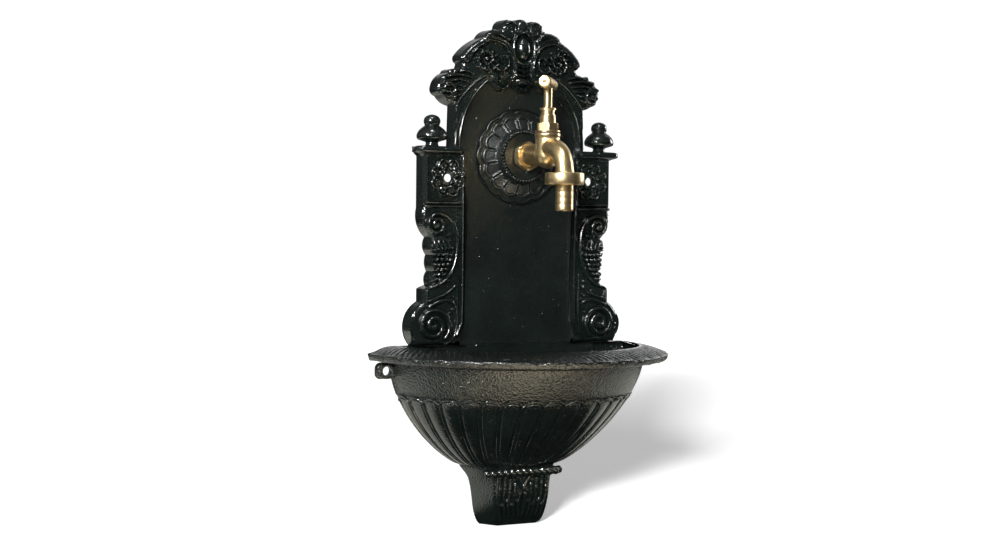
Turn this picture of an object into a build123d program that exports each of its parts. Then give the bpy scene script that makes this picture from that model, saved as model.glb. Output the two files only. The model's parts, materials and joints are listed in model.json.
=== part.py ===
from build123d import *
import os
from math import cos, pi, sin, sqrt

# Wall-hung cast iron garden fountain with a brass bib tap, in millimetres.
# The origin lies midway between the two wall screw holes, on the wall. +X is to the viewer's right, +Z is up,
# and the fountain stands out from the wall towards -Y, so a depth below is counted from the wall forwards.

# Castings
casting_wall = 4.0
carving_draft = 15.0

# Panel: heights are above the screw holes, drops are below them
hole_half_spacing = 83.0
wall_hole_radius = 4.25
crest_top = 168.0
panel_drop = 172.0
field_depth = 14.0
border_depth = 20.0
window_half_width = 62.0
arch_height = 28.0
arch_radius = 68.0
arch_edge_half_width = 77.0
shoulder_half_width = 70.0
shoulder_height = 127.0
ear_half_width = 96.5
ear_height = 92.5
roll_width = 6.0
roll_rise = 2.0
ridge_width = 4.0

# Square block round each screw hole, with its cap and finial
block_half_width = 110.5
block_inner = 66.0
block_drop = 31.0
cap_half_width = 119.5
cap_bottom = 25.5
cap_top = 32.0
cap_depth = 26.0
block_frame_width = 4.0
block_frame_rise = 1.5
petal_count = 8
petal_ring_radius = 11.0
petal_radius = 4.2
petal_rise = 2.5
finial_half_spacing = 99.0
finial_axis_depth = 13.0
finial_neck_radius = 7.3
finial_neck_height = 3.5
finial_brim_radius = 16.2
finial_brim_height = 11.0
finial_waist_radius = 7.6
finial_waist_height = 22.5
finial_knob_radius = 8.7
finial_knob_height = 26.5
finial_tip_radius = 1.5
finial_height = 33.0

# Pilaster below each block: small volute, grapes, step and big volute
small_volute_half_spacing = 95.0
small_volute_drop = 47.0
small_volute_radius = 13.5
big_volute_half_spacing = 98.0
big_volute_drop = 150.0
big_volute_radius = 21.0
volute_band = 4.0
volute_rise = 3.0
waist_half_width = 98.5
step_half_width = 109.5
step_top_drop = 114.0
step_bottom_drop = 127.0
grape_rows = [3, 3, 2, 2, 1]
grape_radius = 5.2
grape_pitch = 8.6
grape_top_drop = 68.0
grape_half_spacing = 88.0

# Crest carving
cartouche_height = 136.0
cartouche_half_width = 11.0
cartouche_half_height = 14.0
cartouche_depth = 29.0
cartouche_frame = 4.0
cartouche_frame_depth = 24.0
cartouche_edge = 3.0
scroll_half_spacing = 25.0
scroll_height = 117.0
scroll_radius = 16.0
scroll_band = 5.0
scroll_depth = 24.0
ear_curl_half_spacing = 80.0
ear_curl_height = 94.0
ear_curl_radius = 11.0

# Tap rosette on the field
tap_height = 24.0
rosette_radius = 50.0
rosette_edge_depth = 17.0
rosette_lobe_count = 12
rosette_lobe_ring = 39.0
rosette_lobe_radius = 8.5
rosette_lobe_depth = 21.0
boss_foot_radius = 31.0
boss_foot_depth = 23.0
boss_radius = 24.0
boss_depth = 30.5
boss_hollow_radius = 19.5

# Tongue that laps the basin, and its bolts
tongue_half_width = 95.0
tongue_drop = 40.0
bolt_half_spacing = 70.0
bolt_drop = 24.0
bolt_radius = 3.0
bolt_hole_radius = 3.3
bolt_head_flats = 10.0
bolt_head_height = 4.0
bolt_washer_radius = 6.0
bolt_washer_thickness = 1.6
bolt_nut_height = 5.0
bolt_end_inset = 0.6

# Basin
rim_half_width = 164.5
rim_reach = 177.0
rim_inner_half_width = 134.0
rim_inner_reach = 144.0
rim_slope = 7.6
rim_edge = 1.0
rim_seat_inset = 1.0
lip_thickness = 6.4
lip_undercut = 2.0
rim_height = 18.0
bowl_half_width = 139.0
bowl_reach = 147.5
bowl_height = 108.0
neck_half_width = 60.0
neck_reach = 42.0
side_fullness = (1.7, 1.3)
front_fullness = (1.25, 1.1)
bowl_steps = [0.0, 0.25, 0.5, 0.7, 0.86, 0.95, 1.0]
bowl_floor_drop = 116.0
ledge_thickness = 8.0
lug_half_spacing = 144.0
lug_drop = 25.5
lug_width = 22.0
lug_height = 17.0
lug_corner = 6.0
lug_depth = 8.0
lug_hole_radius = 4.75
foot_height = 64.0
foot_top_half_width = 57.0
foot_top_front = 34.0
foot_top_depth = 39.0
foot_bottom_half_width = 39.0
foot_bottom_front = 24.5
foot_bottom_depth = 24.0
collar_half_width = 37.0
collar_height = 10.0
collar_depth = 43.0
collar_corner = 3.0
flute_count = 20
flute_bite = 1.6
flute_step = 0.4
flute_top_level = 0.3
scallop_count = 20
scallop_bite = 1.5

# Drain
drain_axis_depth = 19.5
drain_flange_radius = 9.0
drain_flange_thickness = 2.0
drain_radius = 5.5
drain_bore_radius = 4.0
drain_hole_radius = 5.8
drain_thread_length = 14.0
drain_tail_radius = 5.2
drain_tail_drop = 38.0
drain_countersink = 1.0
drain_gasket_radius = 8.4
drain_gasket_thickness = 1.5
drain_nut_flats = 15.0
drain_nut_height = 5.0

# Tap body
thread_clearance = 0.1
shank_radius = 10.45
shank_hole_radius = 10.8
shank_end_depth = 13.0
front_washer_radius = 13.2
front_washer_thickness = 1.5
back_washer_radius = 17.0
back_washer_thickness = 1.5
back_nut_flats = 30.0
back_nut_height = 5.0
collar_hex_flats = 27.0
collar_hex_length = 8.5
collar_hex_chamfer = 1.2
inlet_neck_radius = 11.0
inlet_bore_radius = 6.0
inlet_bore_end_gap = 16.0
port_radius = 4.0
port_height = 18.0
barrel_axis_depth = 78.0
barrel_radius = 13.0
barrel_top = 45.6
barrel_ball_height = 23.0
chamber_radius = 9.5
seat_top = 24.5
seat_thickness = 3.0
seat_hole_radius = 5.5
lower_chamber_radius = 7.0
lower_chamber_bottom = 14.5
spout_axis_depth = 114.0
spout_start_height = 30.0
spout_bend_height = 26.0
spout_bend_radius = 15.0
spout_radius = 9.0
spout_bore_radius = 5.0
outlet_top = 4.0
outlet_bottom = -1.0
outlet_thread_radius = 13.2

# Bonnet and gland
bonnet_gasket_thickness = 1.0
bonnet_flange_radius = 12.75
bonnet_flange_thickness = 1.8
bonnet_hex_flats = 20.2
bonnet_hex_height = 7.6
bonnet_top_radius = 8.15
bonnet_top_height = 8.3
bonnet_skirt_length = 9.6
bonnet_shoulder_height = 52.5
packing_seat_height = 59.0
packing_chamber_radius = 6.5
packing_thickness = 3.0
gland_thread_length = 2.2
gland_neck_radius = 6.9
gland_neck_height = 4.5
gland_flange_radius = 8.25
gland_flange_height = 2.4

# Spindle, handle and valve
spindle_thread_radius = 6.0
spindle_thread_length = 16.0
stem_radius = 4.35
stem_clearance = 0.15
tee_bar_height = 96.0
tee_bar_radius = 6.65
tee_bar_length = 45.0
tee_bar_edge = 1.0
tee_bar_azimuth = 38.0
tee_socket_depth = 3.0
press_clearance = 0.03
valve_rest_gap = 0.2
valve_washer_thickness = 3.0
valve_washer_radius = 7.5
jumper_plate_radius = 7.75
jumper_plate_thickness = 2.0
jumper_stem_radius = 2.5
jumper_stem_length = 7.3
jumper_stem_clearance = 0.2
jumper_stud_radius = 1.9
washer_nut_flats = 7.0
washer_nut_height = 2.4

# Hose union
union_radius = 19.5
union_top = 4.3
union_bottom = -7.6
union_lip_thickness = 2.2
union_gap = 0.2
union_edge = 1.0
hose_washer_radius = 12.5
hose_washer_bore = 7.0
hose_washer_thickness = 2.0
hose_flange_radius = 12.5
hose_flange_thickness = 2.0
hose_tail_radius = 8.9
hose_tail_clearance = 0.3
hose_tail_bore = 6.0
hose_tail_end = -33.5
hose_rib_count = 3
hose_rib_step = 0.5

os.makedirs("parts", exist_ok=True)

field_back = field_depth - casting_wall
panel_bottom = -panel_drop
ledge_top = panel_bottom
back_wall_back = field_back - casting_wall
bowl_top = ledge_top - rim_height
bowl_bottom = bowl_top - bowl_height
bowl_floor = ledge_top - bowl_floor_drop
foot_bottom = bowl_bottom - foot_height
bonnet_base = barrel_top + bonnet_gasket_thickness
boss_back = boss_depth - casting_wall
collar_hex_start = boss_depth + front_washer_thickness
collar_hex_end = collar_hex_start + collar_hex_length


def save(part, name):
    """Label a finished piece and write it under its own name."""
    part.label = name
    export_step(part, f"parts/{name}.step")


def outline_edges(start, rows):
    """Join corners by lines and arcs: each row is the next corner and how far its edge bows outwards."""
    for x, z, bow in rows:
        if bow == 0:
            Line(start, (x, z))
        else:
            run_x = x - start[0]
            run_z = z - start[1]
            length = sqrt(run_x**2 + run_z**2)
            middle_x = start[0] + run_x / 2 - run_z / length * bow
            middle_z = start[1] + run_z / 2 + run_x / length * bow
            ThreePointArc(start, (middle_x, middle_z), (x, z))
        start = (x, z)


def disc(radius, bottom, height, at, mode=Mode.ADD):
    """Extrude a round disc upwards from a height, at an (x, y) place."""
    with BuildSketch(Plane.XY.offset(bottom)) as profile:
        with Locations(at):
            Circle(radius)
    extrude(profile.sketch, amount=height, mode=mode)


def hexagon(flats, bottom, height, at):
    """Extrude a hexagon of a given width across flats upwards from a height."""
    with BuildSketch(Plane.XY.offset(bottom)) as profile:
        with Locations(at):
            RegularPolygon(flats / 2, 6, major_radius=False)
    extrude(profile.sketch, amount=height)


def forward_disc(radius, depth, length, at, mode=Mode.ADD):
    """Extrude a round disc away from the wall, starting at a depth, at an (x, z) place."""
    with BuildSketch(Plane.XZ.offset(depth)) as profile:
        with Locations(at):
            Circle(radius)
    extrude(profile.sketch, amount=length, mode=mode)


def forward_ring(outer, band, depth, length, at):
    """Extrude a flat ring away from the wall, starting at a depth, at an (x, z) place."""
    with BuildSketch(Plane.XZ.offset(depth)) as profile:
        with Locations(at):
            Circle(outer)
            Circle(outer - band, mode=Mode.SUBTRACT)
    extrude(profile.sketch, amount=length)


def half_ellipse(half_width, reach, height, lobes=1, bite=0.0):
    """Sketch one level of the bowl: half an ellipse in front of the wall, plain or of outward lobes."""
    def place(share, inset):
        angle = pi * (1 + share)
        return ((half_width - inset) * cos(angle), (reach - inset) * sin(angle))

    with BuildSketch(Plane.XY.offset(height)) as section:
        with BuildLine():
            if lobes == 1:
                EllipticalCenterArc((0, 0), half_width, reach, start_angle=180, arc_size=180)
                Line((half_width, 0), (-half_width, 0))
            else:
                for lobe in range(lobes):
                    ThreePointArc(place(lobe / lobes, bite), place((lobe + 0.5) / lobes, 0),
                                  place((lobe + 1) / lobes, bite))
                Line((half_width - bite, 0), (bite - half_width, 0))
        make_face()
    return section.sketch


def bowl_section(level, inset, lobes=1, bite=0.0):
    """Sketch the bowl's outside, less an inset, at a level from 0 at its top to 1 at its neck."""
    side = (1 - level ** side_fullness[0]) ** (1 / side_fullness[1])
    front = (1 - level ** front_fullness[0]) ** (1 / front_fullness[1])
    half_width = neck_half_width + (bowl_half_width - neck_half_width) * side
    reach = neck_reach + (bowl_reach - neck_reach) * front
    height = bowl_top - level * bowl_height
    return half_ellipse(half_width - inset, reach - inset, height, lobes, bite)


def between(low, high):
    """Levels from low to high, closer together towards the high end."""
    return [low + (high - low) * step for step in bowl_steps]


def foot_section(height, half_width, front, depth):
    """Sketch one level of the foot: wide at the wall and narrow in front."""
    with BuildSketch(Plane.XY.offset(height)) as section:
        with BuildLine():
            Polyline((-half_width, 0), (-front, -depth), (front, -depth), (half_width, 0), close=True)
        make_face()
    return section.sketch


# Back panel: crest, blocks, pilasters and tongue in one casting, hollow at the back
half_outline = [
    (7.5, crest_top - 3, 1.2),
    (25, crest_top - 10, 5.5),
    (26.5, crest_top - 13, -0.5),
    (46, 146, 4.0),
    (shoulder_half_width, shoulder_height, 2.0),
    (shoulder_half_width - 2.5, shoulder_height - 8, 2.0),
    (73, 111, -1.5),
    (85, 108, 3.0),
    (ear_half_width, ear_height, 2.5),
    (91, ear_height - 8, 2.0),
    (76, 75, 2.0),
    (arch_edge_half_width, cap_top, 0),
    (cap_half_width, cap_top, 0),
    (cap_half_width, cap_bottom, 1.5),
    (block_half_width, cap_bottom - 3.5, -1.5),
    (block_half_width, -block_drop, 0),
    (small_volute_half_spacing + 6, -small_volute_drop - 14, 4.5),
    (waist_half_width + 1, -79, 3.0),
    (waist_half_width, -96, 2.0),
    (waist_half_width + 2, -step_top_drop + 4, 2.0),
    (step_half_width, -step_top_drop, 0.5),
    (step_half_width, -step_bottom_drop, 0),
    (big_volute_half_spacing + 20, panel_bottom, 11.0),
    (0, panel_bottom, 0),
]
with BuildPart() as back_panel:
    with BuildSketch(Plane.XZ):
        with BuildLine():
            outline_edges((0, crest_top), half_outline)
            mirror(about=Plane.YZ)
        make_face()
    extrude(amount=border_depth)
    # The plain field is sunk below the border, under an arch
    with BuildSketch(Plane.XZ.offset(field_depth)):
        with Locations((0, (arch_height + panel_bottom) / 2)):
            Rectangle(2 * window_half_width, arch_height - panel_bottom)
        with Locations((0, arch_height)):
            Circle(arch_radius)
    extrude(amount=border_depth - field_depth, mode=Mode.SUBTRACT)
    # Arch roll and side ridges
    with BuildSketch(Plane.XZ.offset(border_depth)):
        with Locations((0, arch_height)):
            Circle(arch_radius + roll_width)
            Circle(arch_radius, mode=Mode.SUBTRACT)
        with Locations((0, arch_height)):
            Rectangle(4 * arch_radius, 2 * arch_radius, align=(Align.CENTER, Align.MAX), mode=Mode.SUBTRACT)
        for side in (-1, 1):
            with Locations((side * (window_half_width + ridge_width / 2), panel_bottom)):
                Rectangle(ridge_width, ridge_width - block_drop - panel_bottom, align=(Align.CENTER, Align.MIN))
    extrude(amount=roll_rise)
    # Blocks with a raised frame and a petal ring round the screw hole, caps above
    block_middle = (block_inner + block_half_width) / 2
    block_width = block_half_width - block_inner
    frame_height = cap_bottom + block_drop
    for side in (-1, 1):
        with BuildSketch(Plane.XZ):
            with Locations((side * block_middle, -block_drop)):
                Rectangle(block_width, frame_height, align=(Align.CENTER, Align.MIN))
        extrude(amount=border_depth)
        with BuildSketch(Plane.XZ.offset(border_depth)):
            with Locations((side * block_middle, (cap_bottom - block_drop) / 2)):
                Rectangle(block_width, frame_height)
                Rectangle(block_width - 2 * block_frame_width, frame_height - 2 * block_frame_width,
                          mode=Mode.SUBTRACT)
        extrude(amount=block_frame_rise)
        with BuildSketch(Plane.XZ.offset(border_depth)):
            with Locations((side * hole_half_spacing, 0)):
                with PolarLocations(petal_ring_radius, petal_count):
                    Circle(petal_radius)
        extrude(amount=petal_rise, taper=carving_draft)
        with BuildSketch(Plane.XZ):
            with Locations((side * (block_inner + cap_half_width) / 2, cap_bottom)):
                Rectangle(cap_half_width - block_inner, cap_top - cap_bottom, align=(Align.CENTER, Align.MIN))
        extrude(amount=cap_depth)
        # Turned finial on the cap
        finial_foot = (side * finial_half_spacing, -finial_axis_depth, cap_top)
        with BuildSketch(Plane(finial_foot, x_dir=(1, 0, 0), z_dir=(0, -1, 0))):
            with BuildLine():
                Polyline((0, finial_height), (0, 0), (finial_neck_radius, 0),
                         (finial_neck_radius, finial_neck_height), (finial_brim_radius, finial_brim_height),
                         (finial_waist_radius, finial_waist_height))
                Spline((finial_waist_radius, finial_waist_height), (finial_knob_radius, finial_knob_height),
                       (finial_tip_radius, finial_height))
                Line((finial_tip_radius, finial_height), (0, finial_height))
            make_face()
        revolve(axis=Axis(finial_foot, (0, 0, 1)))
        # Volutes as rounds with raised bands
        for x, drop, radius in (
            (small_volute_half_spacing, small_volute_drop, small_volute_radius),
            (big_volute_half_spacing, big_volute_drop, big_volute_radius),
        ):
            forward_ring(radius, volute_band, border_depth, volute_rise, (side * x, -drop))
            forward_disc(radius / 2, border_depth, volute_rise, (side * x, -drop))
        # Grapes in rows that narrow downwards
        for row, count in enumerate(grape_rows):
            row_drop = grape_top_drop + row * grape_pitch
            for place in range(count):
                x = grape_half_spacing + (place - (count - 1) / 2) * grape_pitch
                with Locations((side * x, -border_depth, -row_drop)):
                    Sphere(grape_radius)
        # Scrolls and ear curls of the crest
        forward_ring(scroll_radius, scroll_band, border_depth, scroll_depth - border_depth,
                     (side * scroll_half_spacing, scroll_height))
        forward_ring(ear_curl_radius, scroll_band, border_depth, roll_rise,
                     (side * ear_curl_half_spacing, ear_curl_height))
    # Oval cartouche
    with BuildSketch(Plane.XZ.offset(border_depth)):
        with Locations((0, cartouche_height)):
            Ellipse(cartouche_half_width + cartouche_frame, cartouche_half_height + cartouche_frame)
    extrude(amount=cartouche_frame_depth - border_depth)
    with BuildSketch(Plane.XZ.offset(cartouche_frame_depth)):
        with Locations((0, cartouche_height)):
            Ellipse(cartouche_half_width, cartouche_half_height)
    extrude(amount=cartouche_depth - cartouche_frame_depth)
    fillet(back_panel.faces().filter_by(Plane.XZ).group_by(Axis.Y)[0].edges(), cartouche_edge)
    # Tap rosette: a stepped round with shell lobes and a boss
    forward_disc(rosette_radius, field_depth, rosette_edge_depth - field_depth, (0, tap_height))
    with BuildSketch(Plane.XZ.offset(rosette_edge_depth)):
        with Locations((0, tap_height)):
            with PolarLocations(rosette_lobe_ring, rosette_lobe_count):
                Circle(rosette_lobe_radius)
    extrude(amount=rosette_lobe_depth - rosette_edge_depth, taper=carving_draft)
    with BuildSketch(Plane.XZ.offset(rosette_edge_depth)):
        with Locations((0, tap_height)):
            Circle(boss_foot_radius)
    extrude(amount=boss_foot_depth - rosette_edge_depth)
    with BuildSketch(Plane.XZ.offset(boss_foot_depth)):
        with Locations((0, tap_height)):
            Circle(boss_radius)
    extrude(amount=boss_depth - boss_foot_depth)
    # Tongue below the field
    with BuildSketch(Plane.XZ.offset(field_back)):
        with Locations((0, panel_bottom + casting_wall)):
            Rectangle(2 * tongue_half_width, tongue_drop + casting_wall, align=(Align.CENTER, Align.MAX))
    extrude(amount=casting_wall)
    # Hollow back: shallow behind the field, deeper behind the border
    deep_back = border_depth - casting_wall
    with BuildSketch(Plane.XZ):
        with Locations((0, panel_bottom + casting_wall)):
            Rectangle(2 * window_half_width, arch_height - panel_bottom - casting_wall,
                      align=(Align.CENTER, Align.MIN))
        with Locations((0, arch_height)):
            Circle(arch_radius)
    extrude(amount=field_back, mode=Mode.SUBTRACT)
    with BuildSketch(Plane.XZ):
        for side in (-1, 1):
            pilaster_width = waist_half_width - window_half_width - 2 * casting_wall
            pilaster_middle = (waist_half_width + window_half_width) / 2
            with Locations((side * pilaster_middle, panel_bottom + casting_wall)):
                Rectangle(pilaster_width, cap_bottom - panel_bottom - 2 * casting_wall,
                          align=(Align.CENTER, Align.MIN))
            with Locations((side * block_middle, casting_wall - block_drop)):
                Rectangle(block_width - 2 * casting_wall, frame_height - 2 * casting_wall,
                          align=(Align.CENTER, Align.MIN))
    extrude(amount=deep_back, mode=Mode.SUBTRACT)
    with BuildSketch(Plane.XZ):
        with BuildLine():
            Polyline((-shoulder_half_width + 8, arch_height + arch_radius / 2),
                     (-shoulder_half_width + 10, shoulder_height - 8), (-20, crest_top - 16),
                     (20, crest_top - 16), (shoulder_half_width - 10, shoulder_height - 8),
                     (shoulder_half_width - 8, arch_height + arch_radius / 2), close=True)
        make_face()
        with Locations((0, arch_height)):
            Circle(arch_radius + casting_wall, mode=Mode.SUBTRACT)
    extrude(amount=deep_back, mode=Mode.SUBTRACT)
    forward_disc(boss_hollow_radius, 0, boss_back, (0, tap_height), mode=Mode.SUBTRACT)
    # Screw, tap and bolt holes
    for side in (-1, 1):
        forward_disc(wall_hole_radius, 0, cap_depth, (side * hole_half_spacing, 0), mode=Mode.SUBTRACT)
        forward_disc(bolt_hole_radius, 0, cap_depth, (side * bolt_half_spacing, panel_bottom - bolt_drop),
                     mode=Mode.SUBTRACT)
    forward_disc(shank_hole_radius, 0, cap_depth + boss_depth, (0, tap_height), mode=Mode.SUBTRACT)
    # Nothing stands behind the wall plane
    with BuildSketch(Plane.XZ):
        with Locations((0, cap_top)):
            Rectangle(3 * cap_half_width, 3 * cap_half_width)
    extrude(amount=-3 * finial_brim_radius, mode=Mode.SUBTRACT)
save(back_panel.part, "back_panel")

# Space inside the bowl, used twice below: in front of its back wall and behind it
floor_level = (bowl_top - bowl_floor) / bowl_height
with BuildPart() as bowl_space:
    loft([half_ellipse(rim_inner_half_width, rim_inner_reach, ledge_top + rim_slope),
          half_ellipse(bowl_half_width - casting_wall, bowl_reach - casting_wall, bowl_top)], ruled=True)
    loft([bowl_section(level, casting_wall) for level in between(0, floor_level)])

# Basin: bowl, rim, foot and lugs in one casting
lip_top = ledge_top - rim_slope
with BuildPart() as basin:
    loft([bowl_section(level, 0) for level in between(0, flute_top_level)])
    loft([bowl_section(level, flute_step, flute_count, flute_bite) for level in between(flute_top_level, 1)],
         ruled=True)
    loft([half_ellipse(bowl_half_width - rim_seat_inset, bowl_reach - rim_seat_inset, bowl_top,
                       scallop_count, 0),
          half_ellipse(rim_half_width - lip_undercut, rim_reach - lip_undercut, lip_top - lip_thickness,
                       scallop_count, scallop_bite),
          half_ellipse(rim_half_width, rim_reach, lip_top, scallop_count, scallop_bite),
          half_ellipse(rim_inner_half_width + rim_edge, rim_inner_reach + rim_edge, ledge_top,
                       scallop_count, 0)], ruled=True)
    loft([foot_section(bowl_bottom, foot_top_half_width, foot_top_front, foot_top_depth),
          foot_section(foot_bottom, foot_bottom_half_width, foot_bottom_front, foot_bottom_depth)], ruled=True)
    # Collar in front of the foot
    with BuildSketch(Plane.YZ):
        with Locations((-collar_depth / 2, bowl_bottom - collar_height / 2)):
            RectangleRounded(collar_depth, collar_height, collar_corner)
    extrude(amount=collar_half_width, both=True)
    # Wall lugs
    for side in (-1, 1):
        with BuildSketch(Plane.XZ):
            with Locations((side * lug_half_spacing, ledge_top - lug_drop)):
                RectangleRounded(lug_width, lug_height, lug_corner)
        extrude(amount=lug_depth)
    # Hollow the bowl on both sides of its back wall, and the foot
    add(split(bowl_space.part, bisect_by=Plane.XZ.offset(field_back), keep=Keep.TOP, mode=Mode.PRIVATE),
        mode=Mode.SUBTRACT)
    behind = split(bowl_space.part, bisect_by=Plane.XZ.offset(back_wall_back), keep=Keep.BOTTOM,
                   mode=Mode.PRIVATE)
    add(split(behind, bisect_by=Plane.XY.offset(ledge_top - ledge_thickness), keep=Keep.BOTTOM,
              mode=Mode.PRIVATE), mode=Mode.SUBTRACT)
    loft([foot_section(bowl_floor - casting_wall, foot_top_half_width - casting_wall,
                       foot_top_front - casting_wall, foot_top_depth - casting_wall),
          foot_section(foot_bottom, foot_bottom_half_width - casting_wall,
                       foot_bottom_front - casting_wall, foot_bottom_depth - casting_wall)],
         ruled=True, mode=Mode.SUBTRACT)
    # Lug, bolt and drain holes
    for side in (-1, 1):
        forward_disc(lug_hole_radius, 0, lug_depth, (side * lug_half_spacing, ledge_top - lug_drop),
                     mode=Mode.SUBTRACT)
        forward_disc(bolt_hole_radius, 0, field_depth, (side * bolt_half_spacing, panel_bottom - bolt_drop),
                     mode=Mode.SUBTRACT)
    disc(drain_hole_radius, bowl_floor - 2 * casting_wall, 3 * casting_wall, (0, -drain_axis_depth),
         mode=Mode.SUBTRACT)
save(basin.part, "basin")

# Bolts, washers and nuts that join the castings: each pair is one node
bolt_place = [(side * bolt_half_spacing, panel_bottom - bolt_drop) for side in (-1, 1)]
bolt_seat = field_depth + bolt_washer_thickness
with BuildPart() as basin_bolts:
    with BuildSketch(Plane.XZ.offset(bolt_seat)):
        with Locations(*bolt_place):
            RegularPolygon(bolt_head_flats / 2, 6, major_radius=False)
    extrude(amount=bolt_head_height)
    with BuildSketch(Plane.XZ.offset(bolt_end_inset)):
        with Locations(*bolt_place):
            Circle(bolt_radius)
    extrude(amount=bolt_seat - bolt_end_inset)
save(basin_bolts.part, "basin_bolts")

with BuildPart() as basin_bolt_washers:
    with BuildSketch(Plane.XZ.offset(field_depth)):
        with Locations(*bolt_place):
            Circle(bolt_washer_radius)
            Circle(bolt_hole_radius, mode=Mode.SUBTRACT)
    extrude(amount=bolt_washer_thickness)
save(basin_bolt_washers.part, "basin_bolt_washers")

with BuildPart() as basin_bolt_nuts:
    with BuildSketch(Plane.XZ.offset(back_wall_back - bolt_nut_height)):
        with Locations(*bolt_place):
            RegularPolygon(bolt_head_flats / 2, 6, major_radius=False)
            Circle(bolt_radius + thread_clearance, mode=Mode.SUBTRACT)
    extrude(amount=bolt_nut_height)
save(basin_bolt_nuts.part, "basin_bolt_nuts")

# Drain: waste through the bowl's floor, with gasket and locknut below
drain_at = (0, -drain_axis_depth)
floor_under = bowl_floor - casting_wall
with BuildPart() as drain_waste:
    disc(drain_flange_radius, bowl_floor, drain_flange_thickness, drain_at)
    disc(drain_radius, bowl_floor - drain_thread_length, drain_thread_length, drain_at)
    disc(drain_tail_radius, bowl_floor - drain_tail_drop, drain_tail_drop, drain_at)
    disc(drain_bore_radius, bowl_floor - drain_tail_drop, drain_tail_drop + drain_flange_thickness, drain_at,
         mode=Mode.SUBTRACT)
    drain_mouth = drain_waste.edges().filter_by(GeomType.CIRCLE).group_by(Axis.Z)[-1].sort_by(SortBy.RADIUS)[0]
    chamfer(drain_mouth, drain_countersink)
save(drain_waste.part, "drain_waste")

with BuildPart() as drain_gasket:
    disc(drain_gasket_radius, floor_under - drain_gasket_thickness, drain_gasket_thickness, drain_at)
    disc(drain_radius + thread_clearance, floor_under - drain_gasket_thickness, drain_gasket_thickness,
         drain_at, mode=Mode.SUBTRACT)
save(drain_gasket.part, "drain_gasket")

with BuildPart() as drain_locknut:
    drain_nut_bottom = floor_under - drain_gasket_thickness - drain_nut_height
    hexagon(drain_nut_flats, drain_nut_bottom, drain_nut_height, drain_at)
    disc(drain_radius + thread_clearance, drain_nut_bottom, drain_nut_height, drain_at, mode=Mode.SUBTRACT)
save(drain_locknut.part, "drain_locknut")

# Tap body: shank, hex collar, barrel with seat, and curved spout
barrel_at = (0, -barrel_axis_depth)
spout_at = (0, -spout_axis_depth)
with BuildLine(Plane.YZ) as spout_path:
    FilletPolyline((-barrel_axis_depth, spout_start_height), (-spout_axis_depth, spout_bend_height),
                   (-spout_axis_depth, outlet_top - casting_wall / 2), radius=spout_bend_radius)
with BuildPart() as tap_body:
    forward_disc(shank_radius, shank_end_depth, collar_hex_start - shank_end_depth, (0, tap_height))
    with BuildSketch(Plane.XZ.offset(collar_hex_start)):
        with Locations((0, tap_height)):
            RegularPolygon(collar_hex_flats / 2, 6, major_radius=False, rotation=30)
    extrude(amount=collar_hex_length)
    chamfer(tap_body.faces().sort_by(Axis.Y)[0].edges(), collar_hex_chamfer)
    forward_disc(inlet_neck_radius, collar_hex_end, barrel_axis_depth - collar_hex_end, (0, tap_height))
    disc(barrel_radius, barrel_ball_height, barrel_top - barrel_ball_height, barrel_at)
    with Locations((0, -barrel_axis_depth, barrel_ball_height)):
        Sphere(barrel_radius)
    with BuildSketch(Plane(spout_path.line @ 0, x_dir=(1, 0, 0), z_dir=spout_path.line % 0)):
        Circle(spout_radius)
    sweep(path=spout_path.line)
    disc(outlet_thread_radius, outlet_bottom, outlet_top - outlet_bottom, spout_at)
    # Waterway: inlet bore, port below the seat, chamber above it, spout bore
    forward_disc(inlet_bore_radius, shank_end_depth, barrel_axis_depth - inlet_bore_end_gap - shank_end_depth,
                 (0, tap_height), mode=Mode.SUBTRACT)
    port_start = barrel_axis_depth - inlet_bore_end_gap - 2 * port_radius
    forward_disc(port_radius, port_start, barrel_axis_depth - port_start, (0, port_height), mode=Mode.SUBTRACT)
    disc(lower_chamber_radius, lower_chamber_bottom, seat_top - seat_thickness - lower_chamber_bottom,
         barrel_at, mode=Mode.SUBTRACT)
    disc(seat_hole_radius, lower_chamber_bottom, seat_top - lower_chamber_bottom, barrel_at, mode=Mode.SUBTRACT)
    disc(chamber_radius, seat_top, barrel_top - seat_top, barrel_at, mode=Mode.SUBTRACT)
    with BuildSketch(Plane(spout_path.line @ 0, x_dir=(1, 0, 0), z_dir=spout_path.line % 0)):
        Circle(spout_bore_radius)
    sweep(path=spout_path.line, mode=Mode.SUBTRACT)
    disc(spout_bore_radius, outlet_bottom, outlet_top - outlet_bottom, spout_at, mode=Mode.SUBTRACT)
save(tap_body.part, "tap_body")

# Washers and nut that clamp the tap to the rosette
with BuildPart() as tap_front_washer:
    forward_disc(front_washer_radius, boss_depth, front_washer_thickness, (0, tap_height))
    forward_disc(shank_hole_radius, boss_depth, front_washer_thickness, (0, tap_height), mode=Mode.SUBTRACT)
save(tap_front_washer.part, "tap_front_washer")

back_washer_start = boss_back - back_washer_thickness
with BuildPart() as tap_back_washer:
    forward_disc(back_washer_radius, back_washer_start, back_washer_thickness, (0, tap_height))
    forward_disc(shank_hole_radius, back_washer_start, back_washer_thickness, (0, tap_height),
                 mode=Mode.SUBTRACT)
save(tap_back_washer.part, "tap_back_washer")

with BuildPart() as tap_back_nut:
    with BuildSketch(Plane.XZ.offset(back_washer_start - back_nut_height)):
        with Locations((0, tap_height)):
            RegularPolygon(back_nut_flats / 2, 6, major_radius=False)
            Circle(shank_radius + thread_clearance, mode=Mode.SUBTRACT)
    extrude(amount=back_nut_height)
save(tap_back_nut.part, "tap_back_nut")

# Bonnet with its seal
with BuildPart() as bonnet_gasket:
    disc(bonnet_flange_radius, barrel_top, bonnet_gasket_thickness, barrel_at)
    disc(chamber_radius, barrel_top, bonnet_gasket_thickness, barrel_at, mode=Mode.SUBTRACT)
save(bonnet_gasket.part, "bonnet_gasket")

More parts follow.
